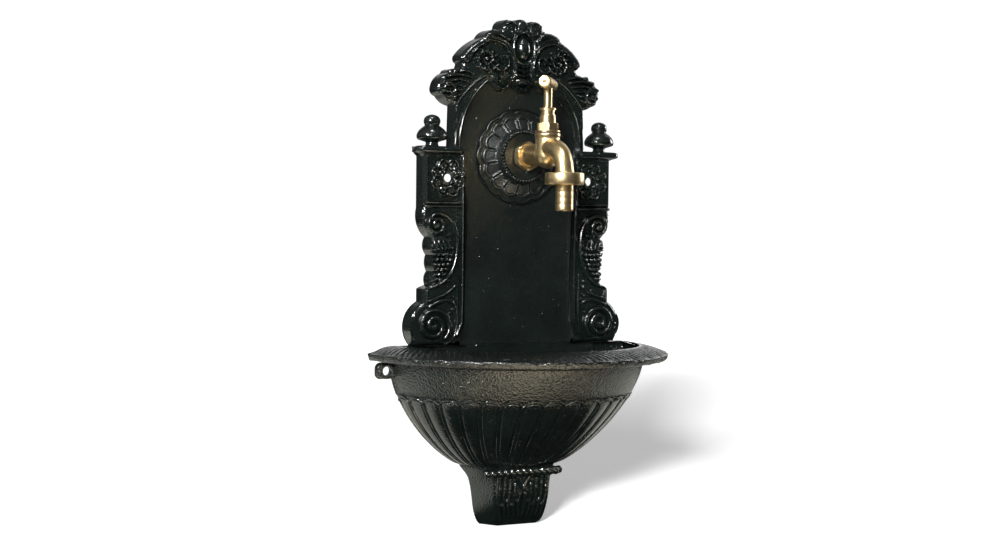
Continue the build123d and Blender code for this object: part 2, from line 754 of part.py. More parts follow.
bonnet_hex_bottom = bonnet_base + bonnet_flange_thickness
bonnet_shelf = bonnet_hex_bottom + bonnet_hex_height
bonnet_top = bonnet_shelf + bonnet_top_height
with BuildPart() as bonnet:
    disc(chamber_radius - thread_clearance, barrel_top - bonnet_skirt_length,
         bonnet_skirt_length + bonnet_gasket_thickness, barrel_at)
    disc(bonnet_flange_radius, bonnet_base, bonnet_flange_thickness, barrel_at)
    hexagon(bonnet_hex_flats, bonnet_hex_bottom, bonnet_hex_height, barrel_at)
    disc(bonnet_top_radius, bonnet_shelf, bonnet_top_height, barrel_at)
    skirt_bottom = barrel_top - bonnet_skirt_length
    disc(spindle_thread_radius + thread_clearance, skirt_bottom, bonnet_shoulder_height - skirt_bottom,
         barrel_at, mode=Mode.SUBTRACT)
    disc(stem_radius + stem_clearance, skirt_bottom, bonnet_top - skirt_bottom, barrel_at, mode=Mode.SUBTRACT)
    disc(packing_chamber_radius, packing_seat_height, bonnet_top - packing_seat_height, barrel_at,
         mode=Mode.SUBTRACT)
save(bonnet.part, "bonnet")

with BuildPart() as gland_packing:
    disc(packing_chamber_radius - thread_clearance, packing_seat_height, packing_thickness, barrel_at)
    disc(stem_radius + stem_clearance, packing_seat_height, packing_thickness, barrel_at, mode=Mode.SUBTRACT)
save(gland_packing.part, "gland_packing")

gland_top = bonnet_top + gland_neck_height + gland_flange_height
with BuildPart() as gland_nut:
    disc(packing_chamber_radius - thread_clearance, bonnet_top - gland_thread_length, gland_thread_length,
         barrel_at)
    disc(gland_neck_radius, bonnet_top, gland_neck_height, barrel_at)
    disc(gland_flange_radius, bonnet_top + gland_neck_height, gland_flange_height, barrel_at)
    disc(stem_radius + stem_clearance, bonnet_top - gland_thread_length,
         gland_top - bonnet_top + gland_thread_length, barrel_at, mode=Mode.SUBTRACT)
save(gland_nut.part, "gland_nut")

# Valve that rises off the seat
washer_bottom = seat_top + valve_rest_gap
plate_bottom = washer_bottom + valve_washer_thickness
plate_top = plate_bottom + jumper_plate_thickness
with BuildPart() as valve_washer:
    disc(valve_washer_radius, washer_bottom, valve_washer_thickness, barrel_at)
    disc(jumper_stud_radius + thread_clearance, washer_bottom, valve_washer_thickness, barrel_at,
         mode=Mode.SUBTRACT)
save(valve_washer.part, "valve_washer")

with BuildPart() as valve_washer_nut:
    hexagon(washer_nut_flats, washer_bottom - washer_nut_height, washer_nut_height, barrel_at)
    disc(jumper_stud_radius + thread_clearance, washer_bottom - washer_nut_height, washer_nut_height, barrel_at,
         mode=Mode.SUBTRACT)
save(valve_washer_nut.part, "valve_washer_nut")

with BuildPart() as valve_jumper:
    disc(jumper_stud_radius, washer_bottom - washer_nut_height, valve_washer_thickness + washer_nut_height,
         barrel_at)
    disc(jumper_plate_radius, plate_bottom, jumper_plate_thickness, barrel_at)
    disc(jumper_stem_radius, plate_top, jumper_stem_length, barrel_at)
save(valve_jumper.part, "valve_jumper")

# Spindle with its crossbar handle
spindle_bottom = plate_top + valve_rest_gap
socket_top = tee_bar_height + tee_socket_depth
with BuildPart() as spindle:
    disc(spindle_thread_radius, spindle_bottom, spindle_thread_length, barrel_at)
    disc(stem_radius, spindle_bottom, socket_top - spindle_bottom, barrel_at)
    disc(jumper_stem_radius + jumper_stem_clearance, spindle_bottom, jumper_stem_length, barrel_at,
         mode=Mode.SUBTRACT)
save(spindle.part, "spindle")

tee_direction = (sin(tee_bar_azimuth * pi / 180), cos(tee_bar_azimuth * pi / 180), 0)
tee_start = Vector(0, -barrel_axis_depth, tee_bar_height) - Vector(*tee_direction) * (tee_bar_length / 2)
with BuildPart() as tee_bar:
    with BuildSketch(Plane(tee_start, x_dir=(0, 0, 1), z_dir=tee_direction)):
        Circle(tee_bar_radius)
    extrude(amount=tee_bar_length)
    fillet(tee_bar.edges().filter_by(GeomType.CIRCLE), tee_bar_edge)
    disc(stem_radius + press_clearance, tee_bar_height - tee_bar_radius, tee_bar_radius + tee_socket_depth,
         barrel_at, mode=Mode.SUBTRACT)
save(tee_bar.part, "tee_bar")

# Hose union: washer and tail held up by a round nut
hose_washer_top = outlet_bottom - union_gap
hose_flange_top = hose_washer_top - hose_washer_thickness
hose_flange_bottom = hose_flange_top - hose_flange_thickness
with BuildPart() as hose_washer:
    disc(hose_washer_radius, hose_flange_top, hose_washer_thickness, spout_at)
    disc(hose_washer_bore, hose_flange_top, hose_washer_thickness, spout_at, mode=Mode.SUBTRACT)
save(hose_washer.part, "hose_washer")

with BuildPart() as hose_tail:
    disc(hose_flange_radius, hose_flange_bottom, hose_flange_thickness, spout_at)
    disc(hose_tail_radius, hose_tail_end, hose_flange_bottom - hose_tail_end, spout_at)
    rib_pitch = (union_bottom - hose_tail_end) / (hose_rib_count + 1)
    for rib in range(hose_rib_count):
        groove = hose_tail_end + (rib + 1) * rib_pitch
        with BuildSketch(Plane.XY.offset(groove)):
            with Locations(spout_at):
                Circle(hose_tail_radius)
                Circle(hose_tail_radius - hose_rib_step, mode=Mode.SUBTRACT)
        extrude(amount=rib_pitch / 4, mode=Mode.SUBTRACT)
    disc(hose_tail_bore, hose_tail_end, hose_flange_top - hose_tail_end, spout_at, mode=Mode.SUBTRACT)
save(hose_tail.part, "hose_tail")

union_lip_top = union_bottom + union_lip_thickness
with BuildPart() as union_nut:
    disc(union_radius, union_bottom, union_top - union_bottom, spout_at)
    chamfer(union_nut.edges().filter_by(GeomType.CIRCLE), union_edge)
    disc(hose_tail_radius + hose_tail_clearance, union_bottom, union_lip_thickness, spout_at,
         mode=Mode.SUBTRACT)
    disc(outlet_thread_radius + thread_clearance, union_lip_top, union_top - union_lip_top, spout_at,
         mode=Mode.SUBTRACT)
save(union_nut.part, "union_nut")
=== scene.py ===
import json
from math import acos, cos, pi, radians, sin

import bpy
import numpy as np
from mathutils import Matrix, Vector


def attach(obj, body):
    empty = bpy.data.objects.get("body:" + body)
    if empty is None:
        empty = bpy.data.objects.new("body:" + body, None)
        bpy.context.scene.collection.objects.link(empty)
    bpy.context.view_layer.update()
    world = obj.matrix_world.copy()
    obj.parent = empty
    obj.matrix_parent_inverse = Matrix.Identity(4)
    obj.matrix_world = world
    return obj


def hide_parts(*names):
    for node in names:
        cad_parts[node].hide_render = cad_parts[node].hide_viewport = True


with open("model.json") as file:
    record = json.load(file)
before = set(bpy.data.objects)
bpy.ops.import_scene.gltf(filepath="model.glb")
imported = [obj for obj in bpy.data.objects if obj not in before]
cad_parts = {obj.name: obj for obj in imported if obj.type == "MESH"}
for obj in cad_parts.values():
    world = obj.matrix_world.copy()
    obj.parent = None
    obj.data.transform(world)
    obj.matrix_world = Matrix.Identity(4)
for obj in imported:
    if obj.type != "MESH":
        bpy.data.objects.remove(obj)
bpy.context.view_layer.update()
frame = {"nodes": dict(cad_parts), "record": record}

# Sizes of pieces are in millimetres, in the frame's axes: +X right, +Z up, and the fountain stands out
# towards -Y. Materials, lamps and the camera are in metres.
MM = 0.001
FAR = 1e6
TINY = 1e-9
SIDES = ((-1, "left"), (1, "right"))

# Panel casting
PANEL_TOP = 168.0
PANEL_BOTTOM = -172.0
GROUND_DEPTH = 18.0
FIELD_DEPTH = 14.0
FIELD_HALF_WIDTH = 72.0
FIELD_ARCH_HEIGHT = 81.0
SUNK_DEPTH = FIELD_DEPTH - 0.6
DEEP_BACK = 16.0
EDGE_ROUND = 4.2
EDGE_DRAFT = 0.8
HOLE_X = 83.0
HOLE_RADIUS = 4.25
HOLE_ROUND = 1.0
CARVING_PITCH = 0.62
BORDER_REACH = 8.0
WALL_STEPS = 5
ARCH_CENTRE = 35.0
ARCH_HALF_WIDTH = 71.0
ARCH_HEIGHT = 80.0
RIDGE_X = 66.3
SLOPE_WIDTH = 3.2

# Blocks, their caps and finials
BLOCK_X = 110.5
BLOCK_BOTTOM = -31.0
CAP_X = 119.5
CAP_INNER = 66.0
CAP_TOP = 32.0
CAP_CORNER = 9.0
FINIAL_X = 99.0
FINIAL_Y = -13.0

# Tap rosette
TAP_HEIGHT = 24.0
ROSETTE_RADIUS = 50.0
ROSETTE_LOBES = 15
LINE_RADIUS = 48.3
LINE_BITE = 2.6
LINE_RISE = 3.2
PETAL_RADIUS = 44.0
PETAL_BITE = 3.4
PETAL_RISE = 6.0
PETAL_EDGE_RISE = 2.4
BOSS_RADIUS = 24.0
BOSS_DEPTH = 30.5
BOSS_FOOT_RADIUS = 31.0
BEAD_RING_RADIUS = 25.6
BEAD_RING_HALF = 2.0

# Basin
RIM_INNER = (134.0, 144.0)
RIM_OUTER = (164.5, 177.0)
RIM_TRIM = 1.3
LEDGE_TOP = -172.0
LIP_TOP = -179.6
LIP_THICKNESS = 6.4
LIP_BITE = 1.6
LIP_NOTCH = 1.1
LIP_UNDERCUT = 4.0
BOWL_TOP = -190.0
BOWL_OUTER = (139.0, 147.5)
BOWL_NECK = (58.5, 42.0)
BOWL_HEIGHT = 108.0
FLUTES = 18
FLUTE_INSET = 1.8
FLUTE_SWELL = 1.4
SEAM_RISE = 1.3
SEAM_HALF = 0.8
SEAM_GROOVE = 1.4
SEAM_GROOVE_AT = 1.9
SEAM_GROOVE_HALF = 1.2
BAND_INSET = 0.6
ARCH_LINE_RISE = 1.2
INNER_LINE_RISE = 0.9
GADROONS = 68
GADROON_DEPTH = 1.4
GADROON_SLANT = 1.5
LUG_X = 144.0
LUG_Z = -197.5
LUG_HALF_HEIGHT = 8.3
FOOT_TOP = -298.0
FOOT_BOTTOM = -362.0
COLLAR_Z = -304.2

# Tap axes
BARREL_Y = -78.0
BARREL = (0, BARREL_Y, 0)
SPOUT = (0, -114.0, 0)
INLET = (0, 0, TAP_HEIGHT)
TEE_HEIGHT = 96.0
TEE_HALF_LENGTH = 22.5
TEE_AZIMUTH = radians(38.0)

# Floor
FLOOR_HALF = 9000.0
FLOOR_HEIGHT = FOOT_BOTTOM - 0.2

# Camera, solved from the photograph
CAMERA_EYE = Vector((-796.44, -1522.16, -58.7)) * MM
CAMERA_HEADING = radians(27.25)
CAMERA_PITCH = radians(1.37)
CAMERA_ROLL = radians(0.57)
CAMERA_LENS = 58.4


# Node helpers

class Nodes:
    """A short way to write a node material."""

    def __init__(self, tree):
        self.tree = tree
        tree.nodes.clear()

    def add(self, kind, **inputs):
        """Add a node and set its inputs by name."""
        node = self.tree.nodes.new(kind)
        for key, value in inputs.items():
            self.set(node, key, value)
        return node

    def set(self, node, key, value):
        """Link a socket to an input, or write a plain value into it."""
        socket = node.inputs[key]
        if isinstance(value, bpy.types.NodeSocket):
            self.tree.links.new(value, socket)
        else:
            socket.default_value = value

    def math(self, operation, first, second=0.0, third=0.0):
        node = self.tree.nodes.new("ShaderNodeMath")
        node.operation = operation
        for index, value in enumerate((first, second, third)):
            self.set(node, index, value)
        return node.outputs[0]

    def times(self, first, *others):
        """Product of two or more values."""
        for other in others:
            first = self.math("MULTIPLY", first, other)
        return first

    def length(self, first, second):
        """Length of a flat vector."""
        squares = self.math("MULTIPLY_ADD", first, first, self.times(second, second))
        return self.math("SQRT", squares)

    def parts(self, where):
        """The three coordinates of a place."""
        return self.add("ShaderNodeSeparateXYZ", Vector=where).outputs

    def ramp(self, value, low, high, start=0.0, end=1.0):
        """Map a value from low..high to start..end, clamped."""
        node = self.add("ShaderNodeMapRange", Value=value)
        for key, number in (("From Min", low), ("From Max", high), ("To Min", start), ("To Max", end)):
            node.inputs[key].default_value = number
        return node.outputs[0]

    def noise(self, where, scale, detail=2.0, roughness=0.5):
        node = self.add("ShaderNodeTexNoise", Vector=where, Scale=scale, Detail=detail, Roughness=roughness)
        return node.outputs["Fac"]

    def mix(self, share, first, second):
        """Mix two colours."""
        node = self.tree.nodes.new("ShaderNodeMix")
        node.data_type = "RGBA"
        for index, value in ((0, share), (6, first), (7, second)):
            self.set(node, index, value)
        return node.outputs[2]

    def bump(self, height, strength, distance):
        node = self.add("ShaderNodeBump", Height=height, Strength=strength, Distance=distance)
        return node.outputs[0]


def grey(value):
    """A neutral colour."""
    return (value, value, value, 1)


def new_material(name):
    """A material, its nodes, its object coordinates and its surface shader."""
    material = bpy.data.materials.new(name)
    material.use_nodes = True
    nodes = Nodes(material.node_tree)
    where = nodes.add("ShaderNodeTexCoord").outputs["Object"]
    surface = nodes.add("ShaderNodeBsdfPrincipled")
    nodes.add("ShaderNodeOutputMaterial", Surface=surface.outputs[0])
    return material, nodes, where, surface


# Materials of the fountain

def paint_height(nodes, where, up):
    """Orange peel, most on the rim and the band below it, and scattered specks."""
    basin = nodes.ramp(up, -0.165, -0.185, 0.2, 1.0)
    flutes = nodes.ramp(up, -0.222, -0.234, 1.0, 0.2)
    peel = nodes.times(nodes.noise(where, 470.0), nodes.times(basin, flutes))
    cells = nodes.add("ShaderNodeTexVoronoi", Vector=where, Scale=170.0, Randomness=1.0)
    speck = nodes.ramp(cells.outputs["Distance"], 0.0, 0.17, 1.0, 0.0)
    some = nodes.ramp(nodes.noise(where, 70.0, 1.0), 0.50, 0.56)
    return nodes.math("MULTIPLY_ADD", nodes.times(speck, some), 0.6, peel)


def satin_zones(nodes, where):
    """Where the paint shines less than on the carving: the flat field and the rosette."""
    across, deep, up = nodes.parts(where)
    field = nodes.times(nodes.ramp(nodes.math("ABSOLUTE", across), 0.0690, 0.0675),
                        nodes.ramp(deep, -0.0170, -0.0160), nodes.ramp(up, -0.172, -0.170))
    above = nodes.math("SUBTRACT", up, TAP_HEIGHT * MM)
    rosette = nodes.ramp(nodes.length(across, above), 0.054, 0.051)
    return nodes.math("MAXIMUM", field, rosette)


def painted_iron():
    """Glossy green-black paint over a rough casting."""
    material, nodes, where, surface = new_material("painted_iron")
    height = paint_height(nodes, where, nodes.parts(where)[2])
    nodes.set(surface, "Normal", nodes.bump(height, 0.95, 0.0018))
    patch = nodes.ramp(nodes.noise(where, 28.0, 3.0), 0.35, 0.7)
    dark, light = (0.0015, 0.0028, 0.0024, 1), (0.0028, 0.0049, 0.0041, 1)
    nodes.set(surface, "Base Color", nodes.mix(patch, dark, light))
    gloss = nodes.ramp(nodes.noise(where, 160.0), 0.3, 0.7, 0.11, 0.19)
    satin = nodes.math("MULTIPLY_ADD", satin_zones(nodes, where), 0.17, gloss)
    nodes.set(surface, "Roughness", satin)
    surface.inputs["Specular IOR Level"].default_value = 0.85
    return material


def satin_brass():
    """Cast and turned brass: warm yellow, a little uneven, with fine turning marks."""
    material, nodes, where, surface = new_material("satin_brass")
    rings = nodes.add("ShaderNodeCombineXYZ", X=0.0, Y=0.0, Z=nodes.parts(where)[2]).outputs[0]
    turning = nodes.noise(rings, 2600.0)
    grain = nodes.noise(where, 700.0, 3.0)
    cloud = nodes.ramp(nodes.noise(where, 90.0, 3.0), 0.35, 0.7)
    nodes.set(surface, "Base Color", nodes.mix(cloud, (0.70, 0.52, 0.26, 1), (0.78, 0.61, 0.34, 1)))
    nodes.set(surface, "Roughness", nodes.ramp(grain, 0.3, 0.7, 0.27, 0.38))
    height = nodes.math("MULTIPLY_ADD", turning, 0.5, grain)
    nodes.set(surface, "Normal", nodes.bump(height, 0.25, 0.00008))
    surface.inputs["Metallic"].default_value = 1.0
    return material


def plain_metal(name, dark, light, low, high):
    """Plated steel with a faint cloudy sheen."""
    material, nodes, where, surface = new_material(name)
    cloud = nodes.ramp(nodes.noise(where, 220.0, 3.0), 0.3, 0.7)
    nodes.set(surface, "Base Color", nodes.mix(cloud, dark, light))
    nodes.set(surface, "Roughness", nodes.ramp(nodes.noise(where, 900.0), 0.3, 0.7, low, high))
    nodes.set(surface, "Normal", nodes.bump(nodes.noise(where, 1400.0), 0.2, 0.00005))
    surface.inputs["Metallic"].default_value = 1.0
    return material


def soft_stuff(name, dark, light, scale, strength):
    """Rubber, fibre or yarn: matt, with its own grain."""
    material, nodes, where, surface = new_material(name)
    grain = nodes.noise(where, scale, 4.0, 0.6)
    nodes.set(surface, "Base Color", nodes.mix(nodes.ramp(grain, 0.3, 0.7), dark, light))
    nodes.set(surface, "Roughness", nodes.ramp(grain, 0.3, 0.7, 0.6, 0.85))
    nodes.set(surface, "Normal", nodes.bump(grain, strength, 0.0001))
    return material


SLOTS = {
    "painted_iron": painted_iron(),
    "brass": satin_brass(),
    "zinc_steel": plain_metal("zinc_steel", (0.42, 0.43, 0.44, 1), (0.58, 0.58, 0.57, 1), 0.28, 0.42),
    "black_rubber": soft_stuff("black_rubber", grey(0.012), grey(0.024), 800.0, 0.2),
    "red_fibre": soft_stuff("red_fibre", (0.020, 0.008, 0.005, 1), (0.040, 0.016, 0.010, 1), 500.0, 0.35),
    "packing_yarn": soft_stuff("packing_yarn", (0.05, 0.045, 0.035, 1), (0.11, 0.10, 0.08, 1), 350.0, 0.6),
}


# Mesh helpers

def new_mesh(name, points, faces):
    """A mesh from points in millimetres."""
    mesh = bpy.data.meshes.new(name)
    corners = [tuple(int(i) for i in face) for face in faces]
    mesh.from_pydata((np.asarray(points, float) * MM).tolist(), [], corners)
    return mesh


def put(name, data):
    """Put an object with this data into the scene."""
    thing = bpy.data.objects.new(name, data)
    bpy.context.scene.collection.objects.link(thing)
    return thing


def add_piece(name, points, faces, slot, body, replaces, sharp):
    """Add a mesh piece, shade it smooth but for sharp edges, and seat it on a body."""
    mesh = new_mesh(name, points, faces)
    mesh.update()
    mesh.polygons.foreach_set("use_smooth", np.ones(len(mesh.polygons), bool))
    mesh.set_sharp_from_angle(angle=radians(sharp))
    piece = put(name, mesh)
    piece.data.materials.append(SLOTS[slot])
    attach(piece, body)
    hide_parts(*replaces)


def add_iron(name, points, faces, node, sharp=38.0):
    """Add a piece of painted casting in place of a CAD node."""
    add_piece(name, points, faces, "painted_iron", "fountain", [node], sharp)


def add_brass(name, shape, node, body="fountain", sharp=30.0):
    """Add a brass piece, given as points and faces, in place of a CAD node."""
    add_piece(name, *shape, "brass", body, [node], sharp)


def grid_faces(rows, columns, closed=False):
    """Quads of a grid of points stored row by row; closed joins the last column to the first."""
    spans = columns if closed else columns - 1
    r, c = np.meshgrid(np.arange(rows - 1), np.arange(spans), indexing="ij")
    after = (c + 1) % columns
    here, below = r * columns, (r + 1) * columns
    return np.stack((here + c, here + after, below + after, below + c), -1).reshape(-1, 4)


def xyz(x, y, z):
    """Points from coordinates, each an array or a plain number."""
    return np.stack(np.broadcast_arrays(x, y, z), -1).reshape(-1, 3)


def cells_within(mask):
    """Cells of a grid whose four corners are all in a mask."""
    return mask[:-1, :-1] & mask[:-1, 1:] & mask[1:, :-1] & mask[1:, 1:]


def unit(vectors):
    """The same vectors with a length of 1."""
    return vectors / np.maximum(np.linalg.norm(vectors, axis=-1), TINY)[..., None]


def pointing(angle):
    """Unit vector at an angle, counted from the right-hand side upwards."""
    return np.array((cos(angle), sin(angle)))


def full_turn(count):
    """Angles of evenly spaced points round a circle."""
    return np.linspace(0, 2 * pi, count, endpoint=False)


def smooth_path(points, per_span=8):
    """A smooth curve through a few given points."""
    points = np.array(points, float)
    if len(points) < 3:
        return points
    held = np.vstack((2 * points[0] - points[1], points, 2 * points[-1] - points[-2]))
    t = np.linspace(0, 1, per_span, endpoint=False)[:, None]
    runs = []
    for a, b, c, d in zip(held, held[1:], held[2:], held[3:]):
        runs.append(0.5 * (2 * b + (c - a) * t + (2 * a - 5 * b + 4 * c - d) * t**2
                           + (3 * b - a - 3 * c + d) * t**3))
    runs.append(points[-1:])
    return np.vstack(runs)


def shaped(points, place):
    """Read a smooth curve through a few (place, value) points at given places."""
    curve = smooth_path(points, 12)
    return np.interp(place, curve[:, 0], curve[:, 1])


def smooth_step(value):
    """Soft step from 0 to 1."""
    value = np.clip(value, 0, 1)
    return value * value * (3 - 2 * value)


def bead(distance, half_width):
    """Height of a round bead at a distance from its middle, from 0 to 1."""
    return np.sqrt(np.clip(1 - (distance / half_width) ** 2, 0, 1))


def capped(rings):
    """Points and faces of a closed skin through rings of points, from one end to the other."""
    count = len(rings[0])
    faces = grid_faces(len(rings), count, closed=True).tolist()
    faces.append(list(range(count))[::-1])
    last = (len(rings) - 1) * count
    faces.append([last + i for i in range(count)])
    return np.vstack(rings), faces


def lathe(rows, centre, axis="Z", segments=96, across_flats=None, turn=0.0):
    """Points and faces of a turned piece: rows of (radius, place along the axis), from one end to the other.
    With across_flats the piece is a hexagon, and the radii only cut its corners."""
    angle = full_turn(segments)
    rings = []
    for radius, place in rows:
        reach = np.full(segments, float(radius))
        if across_flats:
            sixth = pi / 3
            off = (angle + turn) % sixth - sixth / 2
            reach = np.minimum(reach, across_flats / 2 / np.cos(off))
        u, v = reach * np.cos(angle), reach * np.sin(angle)
        offset = (u, v, place) if axis == "Z" else (u, place, -v)
        rings.append(xyz(*offset) + centre)
    return capped(rings)


def tube(path, radii, segments=48):
    """Points and faces of a closed round tube in the plane x = 0, along (y, z) points."""
    angle = full_turn(segments)
    rings = []
    for (y, z), (dy, dz), radius in zip(path, unit(np.gradient(path, axis=0)), radii):
        out = radius * np.sin(angle)
        rings.append(xyz(radius * np.cos(angle), y + dz * out, z - dy * out))
    return capped(rings)


def joined(*meshes):
    """Several (points, faces) as one."""
    points, faces, count = [], [], 0
    for some, polygons in meshes:
        points.append(some)
        faces.extend([[i + count for i in polygon] for polygon in polygons])
        count += len(some)
    return np.vstack(points), faces


def melted(points, faces, voxel, smoothing):
    """Overlapping solids melted into one casting with soft corners."""
    raw = put("raw_casting", new_mesh("raw_casting", points, faces))
    remesh = raw.modifiers.new("melt", "REMESH")
    remesh.mode = "VOXEL"
    remesh.voxel_size = voxel * MM
    smooth = raw.modifiers.new("soften", "SMOOTH")
    smooth.factor = 0.5
    smooth.iterations = smoothing
    bpy.context.view_layer.update()
    shape = raw.evaluated_get(bpy.context.evaluated_depsgraph_get()).to_mesh()
    soft = np.array([v.co for v in shape.vertices]) / MM
    polygons = [tuple(p.vertices) for p in shape.polygons]
    bpy.data.objects.remove(raw)
    return soft, polygons


def cad_faces(node, keep):
    """Copy the faces of a CAD node that keep(centres, normals) picks, as points in millimetres and faces."""
    mesh = frame["nodes"][node].data
    points = np.empty(len(mesh.vertices) * 3)
    mesh.vertices.foreach_get("co", points)
    points = np.round(points.reshape(-1, 3) / MM, 4)
    triangles = np.empty(len(mesh.polygons) * 3, int)
    mesh.polygons.foreach_get("vertices", triangles)
    triangles = triangles.reshape(-1, 3)
    corners = points[triangles]
    normals = unit(np.cross(corners[:, 1] - corners[:, 0], corners[:, 2] - corners[:, 0]))
    triangles = triangles[keep(corners.mean(1), normals)]
    # Points at one place become one, and triangles that lose a side by it go
    unique, index = np.unique(points, axis=0, return_inverse=True)
    used, small = np.unique(index.reshape(-1)[triangles], return_inverse=True)
    triangles = small.reshape(-1, 3)
    whole = (triangles != np.roll(triangles, 1, axis=1)).all(1)
    return unique[used], triangles[whole].tolist()


def nearest_on(a, b, x, z):
    """Share of the way from a to b of the nearest point to x, z, that point, and its distance."""
    run = b - a
    t = np.clip(((x - a[0]) * run[0] + (z - a[1]) * run[1]) / max(run @ run, TINY), 0, 1)
    near = np.stack((a[0] + t * run[0], a[1] + t * run[1]), -1)
    return t, near, np.hypot(x - near[..., 0], z - near[..., 1])


class Relief:
    """Carved depth over a regular grid, built up stroke by stroke on a ground."""

    def __init__(self, x, z, ground):
        self.x, self.z = x, z
        self.X, self.Z = np.meshgrid(x, z)
        self.ground = np.broadcast_to(ground, self.X.shape).astype(float)
        self.depth = self.ground.copy()

    def nearest(self, path, reach):
        """Distance to a path, share of the way along it, and the nearest point on it."""
        distance = np.full(self.X.shape, FAR)
        share = np.zeros(self.X.shape)
        foot = np.zeros(self.X.shape + (2,))
        spans = len(path) - 1
        for index, (a, b) in enumerate(zip(path, path[1:])):
            low, high = np.minimum(a, b) - reach, np.maximum(a, b) + reach
            c0, c1 = np.searchsorted(self.x, (low[0], high[0]))
            r0, r1 = np.searchsorted(self.z, (low[1], high[1]))
            if c0 == c1 or r0 == r1:
                continue
            box = np.s_[r0:r1, c0:c1]
            t, near, d = nearest_on(a, b, self.X[box], self.Z[box])
            closer = d < distance[box]
            distance[box][closer] = d[closer]
            share[box][closer] = ((index + t) / spans)[closer]
            foot[box][closer] = near[closer]
        return distance, share, foot

    def stroke(self, points, width, rise, end_width=None, end_rise=None, cleft=0.0):
        """A rounded ridge along a curve, of given half-width; a cleft splits it into two lines."""
        end_width = width if end_width is None else end_width
        end_rise = rise if end_rise is None else end_rise
        distance, share, _ = self.nearest(smooth_path(points), max(width, end_width))
        half = width + (end_width - width) * share
        u = np.clip(distance / half, 0, 1)
        ridge = self.ground + (rise + (end_rise - rise) * share) * np.sqrt(1 - u * u)
        ridge -= cleft * np.clip(1 - (u / 0.42) ** 2, 0, 1)
        self.depth = np.where(u < 1, np.maximum(self.depth, ridge), self.depth)

    def dome(self, at, radii, rise, turn=0.0):
        """A rounded knob: an ellipse of two half-axes, turned by an angle."""
        x, z = self.X - at[0], self.Z - at[1]
        c, s = cos(turn), sin(turn)
        u = ((x * c + z * s) / radii[0]) ** 2 + ((z * c - x * s) / radii[1]) ** 2
        knob = self.ground + rise * np.sqrt(np.clip(1 - u, 0, 1))
        self.depth = np.where(u < 1, np.maximum(self.depth, knob), self.depth)

    def dots(self, places, radius, rise):
        """Round knobs of one size."""
        for at in places:
            self.dome(at, (radius, radius), rise)

    def step(self, inside, depth):
        """Lift the ground to a depth where a mask says so."""
        self.ground = np.where(inside, depth, self.ground)
        self.depth = np.maximum(self.depth, self.ground)


def spiral(centre, start_radius, end_radius, start_angle, turns, points_per_turn=14):
    """Points of a volute that winds outwards, counted from the right-hand side upwards."""
    count = int(points_per_turn * abs(turns))
    share = np.linspace(0, 1, count + 1)
    angle = radians(start_angle) + 2 * pi * turns * share
    radius = start_radius + (end_radius - start_radius) * share
    return [(centre[0] + r * cos(a), centre[1] + r * sin(a)) for r, a in zip(radius, angle)]


def ring(centre, radius, height=None, count=36, lobes=0, bite=0.0):
    """Points of a closed circle, or of an oval of another half-height, plain or scalloped."""
    height = radius if height is None else height
    angle = np.linspace(0, 2 * pi, count + 1)
    inset = bite * (1 - np.abs(np.sin(lobes * angle / 2)))
    x = centre[0] + (radius - inset) * np.cos(angle)
    z = centre[1] + (height - inset) * np.sin(angle)
    return np.stack((x, z), -1)


# Back panel

# The right half of the outline from the top down, each row a corner and how far its edge bows outwards
HALF_OUTLINE = [
    (7.5, 165, 1.2), (25, 158, 5.5), (26.5, 155, -0.5), (46, 146, 4), (70, 127, 2), (67.5, 119, 2),
    (73, 111, -1.5), (85, 108, 3), (96.5, 92.5, 2.5), (91, 84.5, 2), (76, 75, 2), (77, CAP_TOP, 0),
    (BLOCK_X, CAP_TOP - 0.6, 0), (BLOCK_X, BLOCK_BOTTOM, 0),
    (101, -61, 4.5), (99.5, -79, 3), (98.5, -96, 2), (100.5, -110, 2), (109.5, -114, 0.5), (109.5, -127, 0),
    (118, PANEL_BOTTOM, 11), (0, PANEL_BOTTOM, 0),
]

# Borders of the carving
EDGE, WINDOW, HOLE = range(3)
NO_BORDER = -1


def panel_outline(per_edge=10):
    """Points along the right half of the panel's outline, with its bowed edges."""
    start = (0, PANEL_TOP)
    points = [start]
    for x, z, bow in HALF_OUTLINE:
        run = np.array((x - start[0], z - start[1]))
        side = np.array((-run[1], run[0])) / np.linalg.norm(run)
        for t in np.linspace(0, 1, per_edge + 1)[1:]:
            points.append(tuple(np.array(start) + run * t + side * bow * 4 * t * (1 - t)))
        start = (x, z)
    return np.array(points)


def drafted_outline():
    """The outline at the front of the side walls, which lean in by the draft."""
    outline = panel_outline()
    run = unit(np.gradient(outline, axis=0))
    drafted = outline + EDGE_DRAFT * np.stack((run[:, 1], -run[:, 0]), -1)
    drafted[[0, -1], 0] = 0
    return drafted


def window_outline():
    """The right half of the sunk field's edge: hanging scallops, then the arch and the pilaster."""
    drop = smooth_path([(0, 89.5), (4.5, 90.5), (8.5, 95), (12, 99.5), (15, 96), (19, 92), (24.5, 90.5),
                        (30.5, 92.5), (35, 96.2), (38.5, 97.6)], 5)
    wide = ARCH_HALF_WIDTH - SLOPE_WIDTH
    angle = np.linspace(acos(41 / wide), 0, 30)
    arch = np.stack((wide * np.cos(angle), ARCH_CENTRE + (ARCH_HEIGHT - SLOPE_WIDTH) * np.sin(angle)), -1)
    side = RIDGE_X - SLOPE_WIDTH
    return np.vstack((drop, arch, [(side, 26), (side, -150), (side + 3, -162), (side + 8, PANEL_BOTTOM)]))


def inside_polygon(x, z, polygon):
    """Mask of the points that lie inside a polygon."""
    inside = np.zeros(x.shape, bool)
    for (x1, z1), (x2, z2) in zip(polygon, np.roll(polygon, -1, axis=0)):
        if z1 != z2:
            crosses = (z1 > z) != (z2 > z)
            inside ^= crosses & (x < (x2 - x1) * (z - z1) / (z2 - z1) + x1)
    return inside


